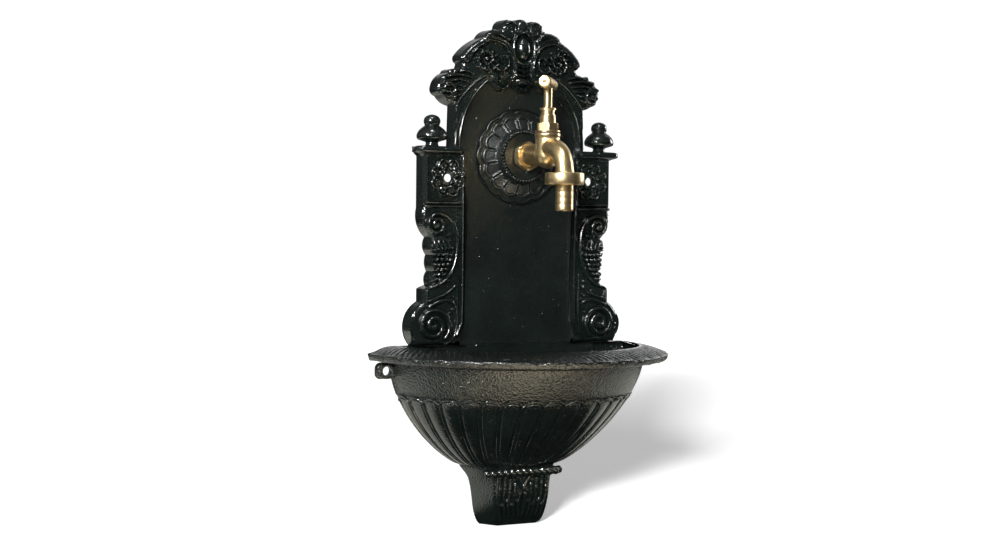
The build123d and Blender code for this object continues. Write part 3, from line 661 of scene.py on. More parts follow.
def carve_arch(relief):
    """Roll round the arch and the ridges beside the field."""
    angle = np.linspace(radians(4), radians(56), 14)
    arris = [(ARCH_HALF_WIDTH * cos(a), ARCH_CENTRE + ARCH_HEIGHT * sin(a)) for a in angle]
    relief.stroke([(ARCH_HALF_WIDTH, CAP_TOP)] + arris, 1.8, 3.6)
    relief.stroke([(75.4, CAP_TOP), (75.8, 60), (74.4, 74), (69, 83.5), (57.7, 95.5), (45, 105)], 1.8, 3.8)
    relief.stroke([(RIDGE_X, 26), (RIDGE_X, -60), (RIDGE_X, -140), (68.5, -152), (72, -161)], 1.9, 3.8)
    relief.stroke([(71.5, -100), (71.5, -140), (73, -155), (76, -164), (84, -172)], 1.4, 2.8)


def carve_block(relief):
    """Square block with its flower round the screw hole."""
    X, Z = relief.X, relief.Z
    block = (X > CAP_INNER) & (X < BLOCK_X) & (Z > BLOCK_BOTTOM) & (Z < CAP_TOP)
    relief.step(block, GROUND_DEPTH + 0.5)
    left, right, low, high = 69.0, 107.2, -25.5, 22.5
    frame_corners = [(left, low), (left, high), (right, high), (right, low), (left, low)]
    for start, end in zip(frame_corners, frame_corners[1:]):
        relief.stroke([start, end], 1.4, 2.6)
    relief.stroke([(CAP_INNER, -29.3), (BLOCK_X, -29.3)], 1.7, 3.6)
    centre = (HOLE_X + 1, 0)
    relief.stroke(ring(centre, 19.5, count=96, lobes=8, bite=4.0), 1.5, 4.0)
    relief.stroke(ring(centre, 6.8), 1.5, 3.2)
    for k in range(8):
        angle = radians(22.5 + 45 * k)
        relief.dome(centre + 12.8 * pointing(angle), (5.0, 4.4), 3.4, angle)
        for spread in (-0.30, -0.1, 0.1, 0.30):
            relief.dots([centre + (16.4 - 4 * abs(spread)) * pointing(angle + spread)], 1.3, 4.6)
        for spread in (-0.2, 0.2):
            relief.dots([centre + 11.5 * pointing(angle + spread)], 1.2, 4.4)


def carve_pilaster(relief):
    """Volutes, leaf frill and grapes below the block."""
    # Small volute, whose ribbon runs on in an S down to the step
    tail = [(82.5, -41), (76.5, -49), (73.6, -60), (73, -72), (75, -86), (80.5, -98.5), (90, -108),
            (104, -112.5)]
    relief.stroke(spiral((95, -48), 2.2, 11.4, -470, 1.62) + tail, 2.7, 4.8, 2.5)
    relief.dots([(94.6, -48.4)], 2.4, 5.6)
    # Leaf above the grapes, with a beaded frill
    for k in range(5):
        x = 81 + 5.0 * k
        relief.stroke([(87 + 1.6 * k, -61), (x + 2, -66), (x, -70.5)], 1.6, 3.0, 2.4, 4.6)
    relief.dots([(86.5, -54), (84.5, -59), (82, -64), (80, -58.5)], 1.6, 4.6)
    for k in range(7):
        relief.dome((78.6 + 3.9 * k, -72.0 - 0.25 * k), (2.0, 1.8), 5.6)
    # Grapes
    for row, (count, middle) in enumerate(((5, 89), (5, 90.5), (4, 91), (4, 92.5), (3, 93.5), (2, 94.5))):
        places = [middle + 4.9 * (k - (count - 1) / 2) for k in range(count)]
        relief.dots([(x, -78.5 - 5.1 * row) for x in places], 2.75, 5.6)
    # Step and the leaves below it
    relief.stroke([(106.3, -116), (106.3, -127)], 2.2, 3.6)
    relief.stroke([(104, -126), (94, -122.5), (84, -118), (77, -112)], 2.6, 4.2, 1.5)
    relief.stroke([(103, -131.5), (93, -127), (83, -125.5), (75.5, -130)], 3.0, 5.0, 2.0)
    buds = [(79, -107.5), (76.8, -113.5), (77.5, -121), (75.6, -126), (76, -135), (79.5, -139)]
    relief.dots(buds, 1.5, 4.6)
    # Big volute with its eye
    relief.stroke(spiral((98, -151), 3.4, 18.2, -460, 1.9), 3.3, 5.0, 3.0)
    relief.dots([(97.6, -152)], 3.0, 6.2)


def carve_shell(relief):
    """Shell lobes at the top, with curls turned inwards, a garland of beads and a tier below."""
    relief.dome((0, 158), (8.0, 9.5), 5.0)
    relief.dome((16.5, 154.5), (11.5, 11.5), 5.0, 0.5)
    curl = [(21, 160.5), (14, 163.5), (8.5, 160), (7.5, 154), (11, 150.5), (15, 152.5), (13.5, 157)]
    relief.stroke(curl, 1.9, 7.0, 1.4)
    relief.dots([(3.1 * k, 152.4 + 0.12 * k * k) for k in range(4)], 1.6, 7.4)
    # Broad second tier that runs into the scroll
    relief.stroke([(47, 143), (39, 149), (30, 151.5), (23, 149.5), (17, 145)], 5.0, 5.0, 3.0)
    relief.stroke([(27, 157), (22, 151), (17, 145)], 2.0, 6.2, 1.5)


def carve_cartouche(relief):
    """Oval in a ring, with a big scroll beside it and a pendant below."""
    relief.stroke(ring((0, 136.5), 12.2, 16.6), 2.4, 6.2)
    relief.dome((0, 136.5), (8.4, 12.8), 8.5)
    # The scroll is a ribbon with raised edges and has a small swirl inside
    scroll = [(44, 146), (34, 145), (23, 141.5), (15, 133.5), (10.5, 122.5), (10.5, 111.5), (14.5, 102.5),
              (23, 98), (31, 101), (31.5, 106.5), (27, 108.5)]
    relief.stroke(scroll, 4.4, 6.8, 2.6, 6.0, cleft=2.6)
    relief.dots([(26, 105.5)], 2.2, 7.0)
    swirl = [(33, 116), (27, 112.5), (21, 114), (17.5, 119.5), (18.5, 125.5), (23, 128), (26.5, 124.5),
             (24.5, 120.5)]
    relief.stroke(swirl, 1.9, 5.8, 1.5)
    # Pendant
    for z, half in ((117, 5.5), (112, 6.5), (107.5, 7.5)):
        relief.stroke([(0, z), (half, z + 1.2)], 1.5, 6.2, 1.2)
    relief.dome((0, 101.5), (10.5, 5.0), 7.0)
    relief.stroke([(0, 99.2), (6, 99.8), (11, 102.5)], 1.4, 7.4, 1.2)
    for at in ((0, 92.6), (3.4, 94.2), (6.6, 96.2)):
        relief.dome(at, (1.9, 2.1), 7.0)
    # Scallop that hangs over the arch
    scallop = [(38, 99.5), (33.5, 96.5), (29, 94.6), (24.5, 93.4), (19.5, 95), (15.5, 99)]
    relief.stroke(scallop, 2.0, 6.5, 1.8)


def carve_shoulder(relief):
    """Round flower of curled petals, a plain bevelled band and the leaf ear."""
    centre = np.array((42.0, 123.5))
    relief.stroke(spiral(centre, 1.5, 12.8, 60, -1.6), 1.5, 5.0, 1.8, 5.8)
    for k in range(11):
        out = pointing(radians(20 + 33 * k))
        side = np.array((-out[1], out[0]))
        petal = [centre + 5 * out, centre + 8.5 * out + 1.2 * side, centre + 12 * out]
        relief.stroke(petal, 1.0, 5.0, 1.7, 6.4)
    relief.dots([centre], 2.2, 6.8)
    # The band ends in a small curl
    relief.stroke([(45, 142.5), (53, 138), (61.5, 131), (67.5, 123)], 5.6, 4.6, 4.4)
    relief.stroke([(40, 142.5), (49.5, 137), (57.5, 130), (62.5, 121.5), (66, 119.5)], 1.2, 5.8, 1.4)
    for row in ([(56, 108), (67, 110.5), (78, 109.5)], [(59, 104), (72, 106), (86, 104.5)],
                [(62, 99.5), (75, 101), (91.5, 97.5)], [(66, 95), (76, 95.5), (86, 95)],
                [(70, 90.5), (76, 90), (81, 86.5)], [(72, 85.5), (76, 84.5), (79, 81.5)]):
        relief.stroke(row, 1.6, 4.2, 2.5, 5.6)
        relief.dome(row[1], (1.6, 1.4), 6.2)
    relief.stroke(spiral((85, 91), 2.0, 9.0, 200, 1.3), 1.9, 5.8, 2.3)
    relief.dots([(85, 91)], 2.2, 6.6)


def carve_crest(relief):
    """Everything above the arch, on a ground that swells towards the middle."""
    bulge = np.exp(-(relief.X / 40) ** 2 - ((relief.Z - 130) / 26) ** 2)
    relief.ground += np.where(relief.Z > 70, 1.0 + 3.0 * bulge, 0)
    relief.depth = np.maximum(relief.depth, relief.ground)
    carve_shell(relief)
    carve_cartouche(relief)
    carve_shoulder(relief)


def find_borders(relief):
    """Distance from each border of the carving, nearest points on it, and the mask of what lies between."""
    edge, window = drafted_outline(), window_outline()
    to_edge, _, edge_foot = relief.nearest(edge, BORDER_REACH)
    to_window, _, window_foot = relief.nearest(window, BORDER_REACH)
    run = np.stack((relief.X - HOLE_X, relief.Z), -1)
    length = np.maximum(np.linalg.norm(run, axis=-1), TINY)
    to_hole = length - HOLE_RADIUS
    hole_foot = np.array((HOLE_X, 0)) + run * (HOLE_RADIUS / length)[..., None]
    field = np.vstack((window, [(0, PANEL_BOTTOM)]))
    inside = inside_polygon(relief.X, relief.Z, edge) & ~inside_polygon(relief.X, relief.Z, field)
    return (to_edge, to_window, to_hole), (edge_foot, window_foot, hole_foot), inside & (to_hole > 0)


def soften_borders(relief, distances):
    """Round the outer edge and the hole, and slope the inner edge down into the field."""
    for border, radius in ((EDGE, EDGE_ROUND), (HOLE, HOLE_ROUND)):
        u = np.clip(1 - np.maximum(distances[border], 0) / radius, 0, 1)
        relief.depth -= radius * (1 - np.sqrt(1 - u * u))
    slope = smooth_step(distances[WINDOW] / SLOPE_WIDTH)
    relief.depth = SUNK_DEPTH + (relief.depth - SUNK_DEPTH) * slope


def carved_sheet(relief, distances, feet, inside):
    """Right half of the carved face: the cells inside, with their border drawn out to the outlines.
    Gives points, faces, the border that each point lies on, and which points lie on the middle line."""
    cells = cells_within(inside)
    around = np.zeros(inside.shape, int)
    for rows in (np.s_[:-1], np.s_[1:]):
        for columns in (np.s_[:-1], np.s_[1:]):
            around[rows, columns] += cells
    around[:, 0] *= 2
    on_border = (around > 0) & (around < 4)
    label = np.where(on_border, np.argmin(np.stack(distances), axis=0), NO_BORDER)
    x, z, depth = relief.X.copy(), relief.Z.copy(), relief.depth.copy()
    for border, foot in enumerate(feet):
        pick = label == border
        x[pick], z[pick] = foot[pick].T
    x[:, 0] = 0
    depth[label == WINDOW] = SUNK_DEPTH
    used, faces = np.unique(grid_faces(*inside.shape)[cells.ravel()], return_inverse=True)
    on_axis = used % inside.shape[1] == 0
    return xyz(x, -depth, z)[used], faces.reshape(-1, 4), label.ravel()[used], on_axis


def mirrored(points, faces, label, on_axis):
    """A right half with its mirror image, which shares the points on the middle line."""
    count = len(points)
    twin = np.where(on_axis, np.arange(count), count + np.cumsum(~on_axis) - 1)
    points = np.vstack((points, points[~on_axis] * (-1, 1, 1)))
    return points, np.vstack((faces, twin[faces][:, ::-1])), np.concatenate((label, label[~on_axis]))


def with_walls(points, faces, label):
    """A sheet with walls from its free edges back to the wall plane, or into the hollow at a screw hole."""
    sides = np.vstack([np.stack((faces[:, k], faces[:, (k + 1) % 4]), -1) for k in range(4)])
    known = set(map(tuple, sides.tolist()))
    free = np.array([(a, b) for a, b in known if (b, a) not in known])
    free = free[(label[free] != WINDOW).all(1)]
    run = points[free[:, 1]] - points[free[:, 0]]
    out = np.zeros((len(points), 2))
    for end in free.T:
        np.add.at(out, end, np.stack((run[:, 2], -run[:, 0]), -1))
    brink, place = np.unique(free, return_inverse=True)
    x, y, z = points[brink].T[..., None]
    out_x, out_z = unit(out)[brink].T[..., None]
    share = np.arange(1, WALL_STEPS + 1) / WALL_STEPS
    hole = (label[brink] == HOLE)[:, None]
    spread = np.where(hole, 0, EDGE_DRAFT * share)
    back = np.where(hole, -DEEP_BACK, 0)
    wall = xyz(x + out_x * spread, y + (back - y) * share, z + out_z * spread)
    # Each point of the brink with the wall points behind it
    chain = np.column_stack((brink, len(points) + np.arange(len(wall)).reshape(len(brink), -1)))
    a, b = chain[place.reshape(-1, 2).T]
    quads = np.stack((b[:, :-1], a[:, :-1], a[:, 1:], b[:, 1:]), -1).reshape(-1, 4)
    return np.vstack((points, wall)), np.vstack((faces, quads))


def panel_carving():
    """The carved front of the panel, outside the sunk field, with its side walls and screw holes."""
    relief = Relief(np.arange(0, CAP_X + 2, CARVING_PITCH),
                    np.arange(PANEL_BOTTOM - 1, PANEL_TOP + 2, CARVING_PITCH), GROUND_DEPTH)
    carve_arch(relief)
    carve_block(relief)
    carve_pilaster(relief)
    carve_crest(relief)
    distances, feet, inside = find_borders(relief)
    soften_borders(relief, distances)
    sheet = mirrored(*carved_sheet(relief, distances, feet, inside))
    add_iron("panel_carving", *with_walls(*sheet), "back_panel")


def panel_field():
    """The plain sunk field: a cast face that is not quite flat."""
    x = np.linspace(-FIELD_HALF_WIDTH, FIELD_HALF_WIDTH, 97)
    z = np.linspace(PANEL_BOTTOM - 4, 117, 193)
    X, Z = np.meshgrid(x, z)
    wave = 0.18 * np.sin(X / 17 + 1.3) * np.cos(Z / 23 + 0.4) + 0.10 * np.sin(X / 7.1 - Z / 9.3)
    above = np.maximum(Z - ARCH_CENTRE, 0)
    keep = (X / FIELD_HALF_WIDTH) ** 2 + (above / FIELD_ARCH_HEIGHT) ** 2 < 1
    keep &= np.abs(X) < np.where(Z < 27, 67.5, 80)
    faces = grid_faces(*X.shape)[cells_within(keep).ravel()]
    add_iron("panel_field", xyz(X, -FIELD_DEPTH - wave * 0.6, Z), faces, "back_panel")


def panel_back():
    """The hollow back of the panel and the tongue that laps the basin, as in the solid."""
    outline = panel_outline()

    def keep(centres, normals):
        x, y, z = np.abs(centres[:, 0]), centres[:, 1], centres[:, 2]
        finial = (z > CAP_TOP - 0.5) & (x > 80) & (z < 70)
        cap = (x > BLOCK_X - 1.5) & (z > 20) & (z < CAP_TOP + 1)
        boss = np.hypot(x, z - TAP_HEIGHT) < 20
        backward = normals[:, 1] > 0.1
        upright = np.abs(normals[:, 1]) <= 0.1
        gap = np.min([nearest_on(a, b, x, z)[2] for a, b in zip(outline, outline[1:])], axis=0)
        inner_wall = upright & (gap > 2.5) & (y > -16.5) & ~cap
        hollow = boss & upright & (y > 4 - BOSS_DEPTH)
        tongue = z < PANEL_BOTTOM + 0.5
        return (backward | inner_wall | hollow | tongue) & ~finial

    points, faces = cad_faces("back_panel", keep)
    # At the wall the visible caps end a little short of the solid's
    across, up = points[:, 0], points[:, 2]
    limit = np.where(up > 26, 115.4, 113.4)
    past = (up > 24) & (up < CAP_TOP + 1) & (np.abs(across) > limit)
    points[past, 0] = np.sign(across[past]) * limit[past]
    add_iron("panel_back", points, faces, "back_panel", 30)


def rosette_petals(R, across):
    """Depth of the petals, with raised edges, and how far each reaches out."""
    reach = PETAL_RADIUS - PETAL_BITE * across**2
    to_side = (1 - np.abs(across)) * pi * R / ROSETTE_LOBES
    cup = FIELD_DEPTH + 2.8 + PETAL_RISE * np.clip((reach - R) / 13, 0, 1) - 1.2 * (1 - across**2)
    edge = np.maximum(bead(reach - 1.9 - R, 2.0), 0.7 * bead(to_side - 1.4, 1.3))
    shell = cup + PETAL_EDGE_RISE * edge - 1.6 * bead(to_side, 0.9)
    return FIELD_DEPTH + (shell - FIELD_DEPTH) * smooth_step((reach - R) / 0.9), reach


def tap_rosette():
    """Scalloped shell of sloping petals round the tap, on a boss with a beaded shoulder."""
    turn = full_turn(40 * ROSETTE_LOBES)
    T, R = np.meshgrid(turn, np.concatenate((np.linspace(11, 23, 8), np.linspace(23.4, ROSETTE_RADIUS, 84))))
    across = 2 * ((ROSETTE_LOBES * T / (2 * pi)) % 1) - 1
    # Plate with a thin scalloped line, then the petals
    line = LINE_RADIUS - LINE_BITE * across**2
    depth = SUNK_DEPTH + 2.0 * smooth_step((line + 1.4 - R) / 1.4)
    depth = np.maximum(depth, FIELD_DEPTH + LINE_RISE * bead(R - line, 1.3))
    shell, reach = rosette_petals(R, across)
    depth = np.where((R < reach) & (R > BOSS_RADIUS), np.maximum(depth, shell), depth)
    # Boss on its foot, with a ring of beads on the shoulder
    foot = 22.6 + 4.8 * smooth_step((30.0 - R) / 3.0)
    foot = 20 + (foot - 20) * smooth_step((BOSS_FOOT_RADIUS - R) / 1.2)
    depth = np.where(R < BOSS_FOOT_RADIUS, np.maximum(depth, foot), depth)
    depth = np.where(R < BOSS_RADIUS, BOSS_DEPTH - 0.4, depth)
    from_beads = R - BEAD_RING_RADIUS
    beads = 27.2 + (0.9 + 3.4 * np.abs(np.sin(24 * T))) * bead(from_beads, BEAD_RING_HALF)
    depth = np.where(np.abs(from_beads) < BEAD_RING_HALF, beads, depth)
    points = xyz(R * np.cos(T), -depth, TAP_HEIGHT + R * np.sin(T))
    add_iron("tap_rosette", points, grid_faces(*T.shape, closed=True), "back_panel", 65)


def block_caps():
    """Moulded cap on each block, with a cove below and rounded outer ends."""
    rows = [(21.5, 19.6, 110.4), (23.0, 20.6, 111.2), (24.4, 22.6, 113.8), (25.4, 24.8, 117.4),
            (26.4, 25.8, 119.0), (27.6, 26.0, 119.4), (30.2, 26.0, 119.4), (31.4, 25.4, 118.6),
            (32.0, 24.0, 117.0)]
    angle = np.linspace(0, pi / 2, 12)
    corner_x, corner_y = CAP_CORNER * np.sin(angle), CAP_CORNER * (1 - np.cos(angle))
    inner = CAP_INNER + 4
    for side, word in SIDES:
        loops = []
        for z, depth, end in rows:
            x = np.concatenate(([inner, inner, 90], end - CAP_CORNER + corner_x, [end - 4]))
            y = np.concatenate(([0, -depth, -depth], corner_y - depth, [0]))
            loops.append(xyz(side * x, y, z))
        count = len(loops[0])
        faces = grid_faces(len(rows), count).tolist()
        faces.append([(len(rows) - 1) * count + i for i in range(count)])
        faces = faces if side > 0 else [face[::-1] for face in faces]
        add_iron("block_cap_" + word, np.vstack(loops), faces, "back_panel", 50)


def finials():
    """Turned knob on each cap."""
    profile = [(7.4, 0), (6.7, 2.2), (6.6, 4.4), (10.0, 5.8), (14.6, 7.4), (15.9, 9.8), (15.7, 12.4),
               (14.4, 15.4), (12.0, 18.2), (9.0, 20.6), (7.6, 21.9), (8.2, 23.4), (8.7, 25.6), (8.2, 28.4),
               (6.4, 30.8), (3.4, 32.4), (0.4, 33.0)]
    rows = [(max(radius, 0.3), z) for radius, z in smooth_path(profile, 4)]
    for side, word in SIDES:
        points, faces = lathe(rows, (side * FINIAL_X, FINIAL_Y, CAP_TOP - 0.4), segments=64)
        points[:, 1] = np.minimum(points[:, 1], -0.2)
        add_iron("finial_" + word, points, faces, "back_panel", 50)


# Basin

def add_half_round(name, turn, half_width, reach, height):
    """Add a sheet of the basin's outside, swept round the front."""
    points = xyz(half_width * np.cos(turn), -reach * np.sin(turn), height)
    add_iron(name, points, grid_faces(*turn.shape)[:, ::-1], "basin", 60)


def basin_rim():
    """Rounded rim with slanted gadroons and a scalloped lip."""
    turn = np.linspace(0, pi, 1021)
    # Q runs out over the top to 1, over the lip to 1.3 and back below it
    stretches = ((0, 1, 30), (1.02, 1.3, 9), (1.35, 2.3, 14))
    T, Q = np.meshgrid(turn, np.concatenate([np.linspace(*stretch) for stretch in stretches]))
    top = np.clip(Q, 0, 1)
    lip = smooth_step((Q - 1) / 0.3)
    under = np.clip((Q - 1.3) / 1.0, 0, 1)
    out = top + 0.03 * np.sin(pi * np.clip((Q - 1) / 0.3, 0, 1)) - 0.07 * lip - 0.78 * under
    half_width, reach = (inner + (outer - inner - RIM_TRIM) * out
                         for inner, outer in zip(RIM_INNER, RIM_OUTER))
    height = LEDGE_TOP + (LIP_TOP - LEDGE_TOP) * top**1.7 - LIP_THICKNESS * lip
    height = height - LIP_UNDERCUT * smooth_step(under)
    across = 2 * ((FLUTES * T / pi) % 1) - 1
    bite = LIP_BITE * across**2 * smooth_step((Q - 0.55) / 0.4) * (1 - under)
    groove = 1 - np.abs(np.sin(pi * (GADROONS * T / pi + GADROON_SLANT * Q))) ** 0.6
    band = smooth_step((Q - 0.06) / 0.12) * (1 - smooth_step((Q - 0.86) / 0.14))
    notch = LIP_NOTCH * across**4 * smooth_step((Q - 0.7) / 0.3) * (1 - under)
    height = height - GADROON_DEPTH * groove * band - notch
    add_half_round("basin_rim", T, half_width - bite, reach - bite, height)


def bowl_level(level):
    """Half-width, reach and height of the bowl's outside, from 0 at its top to 1 at its neck."""
    side = np.clip(1 - level**1.7, 0, 1) ** (1 / 1.3)
    front = np.clip(1 - level**1.25, 0, 1) ** (1 / 1.1)
    return (BOWL_NECK[0] + (BOWL_OUTER[0] - BOWL_NECK[0]) * side,
            BOWL_NECK[1] + (BOWL_OUTER[1] - BOWL_NECK[1]) * front, BOWL_TOP - BOWL_HEIGHT * level)


def basin_bowl():
    """Outside of the bowl: a plain band above arched flutes, with a line and two grooves at each seam."""
    turn = np.linspace(0, pi, 829)
    # Levels lie closest where the arches are
    stretches = ((0, 0.27, 12), (0.275, 0.40, 56), (0.407, 1, 46))
    T, L = np.meshgrid(turn, np.concatenate([np.linspace(*stretch) for stretch in stretches]))
    half_width, reach, height = bowl_level(L)
    lobe = (FLUTES * T / pi) % 1
    across = 2 * lobe - 1
    below = L - (0.358 - 0.050 * (1 - across**2))
    pitch = pi * (half_width + reach) / 2 / FLUTES
    to_seam = np.minimum(lobe, 1 - lobe) * pitch
    flute = FLUTE_INSET - FLUTE_SWELL * (1 - across**2)
    flute = flute + SEAM_GROOVE * bead(to_seam - SEAM_GROOVE_AT, SEAM_GROOVE_HALF)
    flute = flute - SEAM_RISE * bead(to_seam, SEAM_HALF)
    inset = BAND_INSET + smooth_step(below / 0.012) * (flute - BAND_INSET)
    # Raised line along the arches, a groove above it, and a short second line inside each arch
    inset = inset - ARCH_LINE_RISE * bead(below + 0.002, 0.011) + 0.5 * bead(below + 0.022, 0.010)
    inner = np.clip(1.4 - 2 * np.abs(across), 0, 1)
    inset = inset - INNER_LINE_RISE * inner * bead(below - 0.026, 0.009)
    inset = inset * np.clip((1.02 - L) / 0.1, 0.35, 1)
    add_half_round("basin_bowl", T, half_width - inset, reach - inset, height)


def basin_inside():
    """Inside of the bowl, the back wall and the top of the foot's hollow, as in the solid."""
    def keep(centres, normals):
        x, y, z = centres.T
        half_width, reach, _ = bowl_level(np.clip((BOWL_TOP - z) / BOWL_HEIGHT, 0, 1))
        outward = normals[:, 0] * x / half_width**2 + normals[:, 1] * y / reach**2 > 0
        near_side = np.abs(x) > 0.93 * half_width
        bowl = outward & ((y < -6.2) | near_side) & (z < BOWL_TOP + 0.5) & (z > FOOT_TOP - 0.5)
        lug = (np.abs(x) > 132) & (y > -8.5) & (z < BOWL_TOP + 1.5)
        rim = (z > BOWL_TOP - 0.5) & ((x / RIM_INNER[0]) ** 2 + (y / RIM_INNER[1]) ** 2 > 1.004)
        ceiling = (normals[:, 2] < -0.5) & (z > FOOT_TOP - 25) & (np.abs(x) < 44)
        foot = (z < FOOT_TOP + 1) & ~ceiling
        wall_plane = (y > -0.05) & (normals[:, 1] > 0.9) & (z > FOOT_TOP)
        return wall_plane | ~(bowl | rim | foot | lug)

    add_iron("basin_inside", *cad_faces("basin", keep), "basin", 30)


def basin_lugs():
    """Drilled lug under each end of the rim, with soft edges."""
    angle = full_turn(72)
    stretch = np.where(np.cos(angle) > 0, 10.8, 14.0)
    # Loops from the hole outwards: how far the outside is drawn in, radius if it is the hole, place along Y
    loops = ((0, 4.75, 0), (0, 4.75, -7.2), (0, 5.6, -8.0), (2.2, 0, -8.0), (0.7, 0, -7.4), (0, 0, -5.9),
             (0, 0, 0))
    faces = grid_faces(len(loops), len(angle), closed=True)
    for side, word in SIDES:
        points = []
        for inset, hole, y in loops:
            wide, high = (hole, hole) if hole else (stretch - inset, LUG_HALF_HEIGHT - inset)
            x = side * (LUG_X + wide * np.cos(angle))
            points.append(xyz(x, y, LUG_Z + high * np.sin(angle)))
        add_iron("basin_lug_" + word, np.vstack(points), faces[:, ::-side], "basin", 45)


def foot_leaf(front, rows):
    """Relief of the leaf on the foot's front: across it, and from its top down."""
    relief = Relief(front * 28, np.linspace(FOOT_BOTTOM - FOOT_TOP, 0, len(rows)), 0.0)
    for side, _ in SIDES:
        relief.stroke([(0, -26), (side * 2.6, -18), (side * 6, -11)], 2.0, 3.0, 2.6)
        for k, (bottom, top) in enumerate(((-56, -29), (-55, -19), (-57, -14), (-55, -11), (-53, -10))):
            x = 2.6 + 5.2 * k
            vein = [(side * (x - 0.6), bottom), (side * (x + 0.9), (bottom + top) / 2), (side * x, top)]
            relief.stroke(vein, 1.8, 2.2, 2.4, 3.0)
        for k in range(4):
            relief.dome((side * (8.2 + 5.2 * k), -20 - 4 * (k % 2)), (2.0, 3.4), 3.2, side * 0.5)
            relief.dome((side * (5.4 + 5.2 * k), -38 - 4 * (k % 2)), (1.7, 3.6), 2.8, -side * 0.3)
    leaf = 1.3 * relief.depth[::-1] * smooth_step((1 - np.abs(front)) / 0.08)
    return leaf * (smooth_step((0.90 - rows) / 0.05) * smooth_step((rows - 0.13) / 0.05))[:, None]


def foot_section(wall, face, reach, front, bump):
    """Outside of the foot in one row, from wall to wall, and where its front starts and ends."""
    left = np.array((-wall, 0)) + np.linspace(0, 1, 46)[:, None] * np.array((wall - face, -reach))
    middle = np.stack((front * face, np.full(len(front), -reach)), -1)
    section = np.vstack((left[:-1], middle, (left[::-1] * (-1, 1))[1:]))
    for _ in range(4):
        section[1:-1] = (section[:-2] + 2 * section[1:-1] + section[2:]) / 4
    first, last = len(left) - 1, len(left) + len(front) - 2
    section[first:last + 1, 1] -= bump
    return section, first, last


def basin_foot():
    """Tapering foot: plain sides that sweep in from the bowl, a leaf on the front, and the hollow behind."""
    rows = np.linspace(0, 1, 110)
    front = np.linspace(-1, 1, 121)
    at_wall = shaped([(0, 58.5), (0.05, 56.5), (0.14, 51.5), (0.23, 48), (0.34, 45.9), (0.45, 44.6),
                      (0.58, 43.4), (0.7, 42.4), (0.82, 40.7), (0.89, 39.1), (0.95, 37.3), (1, 34.5)], rows)
    at_front = shaped([(0, 34), (0.25, 32.6), (0.55, 31.6), (0.8, 29.4), (0.94, 26.6), (1.0, 23)], rows)
    depth = shaped([(0, 37), (0.2, 32.5), (0.55, 30), (0.8, 26.6), (0.94, 23.2), (1.0, 19.5)], rows)
    heights = FOOT_TOP + (FOOT_BOTTOM - FOOT_TOP) * rows
    outside, inside = [], []
    for z, wall, face, reach, bump in zip(heights, at_wall, at_front, depth, foot_leaf(front, rows)):
        section, first, last = foot_section(wall, face, reach, front, bump)
        outside.append(xyz(*section.T, z))
        half = [(wall, 0), (wall - 4, 0), (face - 4.5, 5 - reach)]
        inside.append([(-x, y, z) for x, y in half] + [(x, y, z) for x, y in half[::-1]])
    faces = grid_faces(len(rows), len(outside[0]))
    add_iron("basin_foot", np.vstack(outside), faces[:, ::-1], "basin", 55)
    # The hollow follows the outside, and plain edges join them at the wall and below
    hollow = np.vstack(inside)
    brink = outside[-1][[0, 0, first, last, -1, -1]]
    faces = np.vstack((grid_faces(len(rows), 6), grid_faces(2, 6)[:, ::-1] + len(hollow)))
    add_iron("foot_hollow", np.vstack((hollow, inside[-1], brink)), faces, "basin", 30)


def foot_collar():
    """Row of beads that wraps the front of the foot's top."""
    half = [(10, -38.8), (28, -38.8), (36.5, -38.2), (41, -35.3), (43.5, -30)]
    path = smooth_path([(-x, y) for x, y in half[::-1]] + half, 40)
    along = np.concatenate(([0], np.cumsum(np.linalg.norm(np.diff(path, axis=0), axis=1))))
    run = unit(np.gradient(path, axis=0))
    around = np.linspace(-0.7 * pi, 0.7 * pi, 33)[:, None]
    twist = along / 7.2 + 0.10 * around
    taper = bead(2 * along / along[-1] - 1, 1.002) ** 0.25
    radius = (2.0 + 2.9 * np.abs(np.sin(pi * twist)) ** 0.7) * taper
    x = path[:, 0] + run[:, 1] * radius * np.cos(around)
    y = path[:, 1] - run[:, 0] * radius * np.cos(around)
    z = COLLAR_Z + radius * 1.05 * np.sin(around)
    add_iron("foot_collar", xyz(x, y, z), grid_faces(*x.shape), "basin", 60)


# Tap

def tap_casting():
    """Cast body of the tap, with the hexagon of its inlet."""
    barrel = [(0.5, 10.2)]
    for angle in np.radians(np.linspace(-80, 0, 9)):
        barrel.append((13 * cos(angle), 23 + 13 * sin(angle)))
    barrel += [(12.6, 34), (12.6, 41), (13.2, 42.8), (13.2, 45.2), (12.8, 45.6), (0.5, 45.6)]
    neck = [(10.9, -39.5), (11.2, -44), (10.6, -52), (10.4, -62), (10.8, -75)]
    shank = [(10.3, -13.2), (10.3, -41)]
    spout = smooth_path([(-72, 29.5), (-84, 30.2), (-97, 28.2), (-107, 22.5), (-112.4, 13.5), (-114, 5),
                         (-114, -1)], 6)
    spout_radius = np.interp(np.linspace(0, 1, len(spout)), (0, 0.3, 0.62, 0.8, 0.93, 1.0),
                             (10.5, 10.0, 9.2, 9.2, 11.2, 12.6))
    solids = joined(lathe(barrel, BARREL, segments=64), lathe(neck, INLET, "Y", 64),
                    tube(spout, spout_radius), lathe(shank, INLET, "Y", 64))
    add_brass("tap_casting", melted(*solids, voxel=0.55, smoothing=6), "tap_body", sharp=55)
    collar = [(13.9, -32.1), (14.7, -32.7), (16.0, -33.7), (16.0, -38.9), (14.8, -39.9), (13.6, -40.5),
              (11.0, -40.7)]
    hexagon = lathe(collar, INLET, "Y", 144, across_flats=27.0, turn=radians(30))
    add_brass("tap_collar_hex", hexagon, "tap_body", sharp=28)


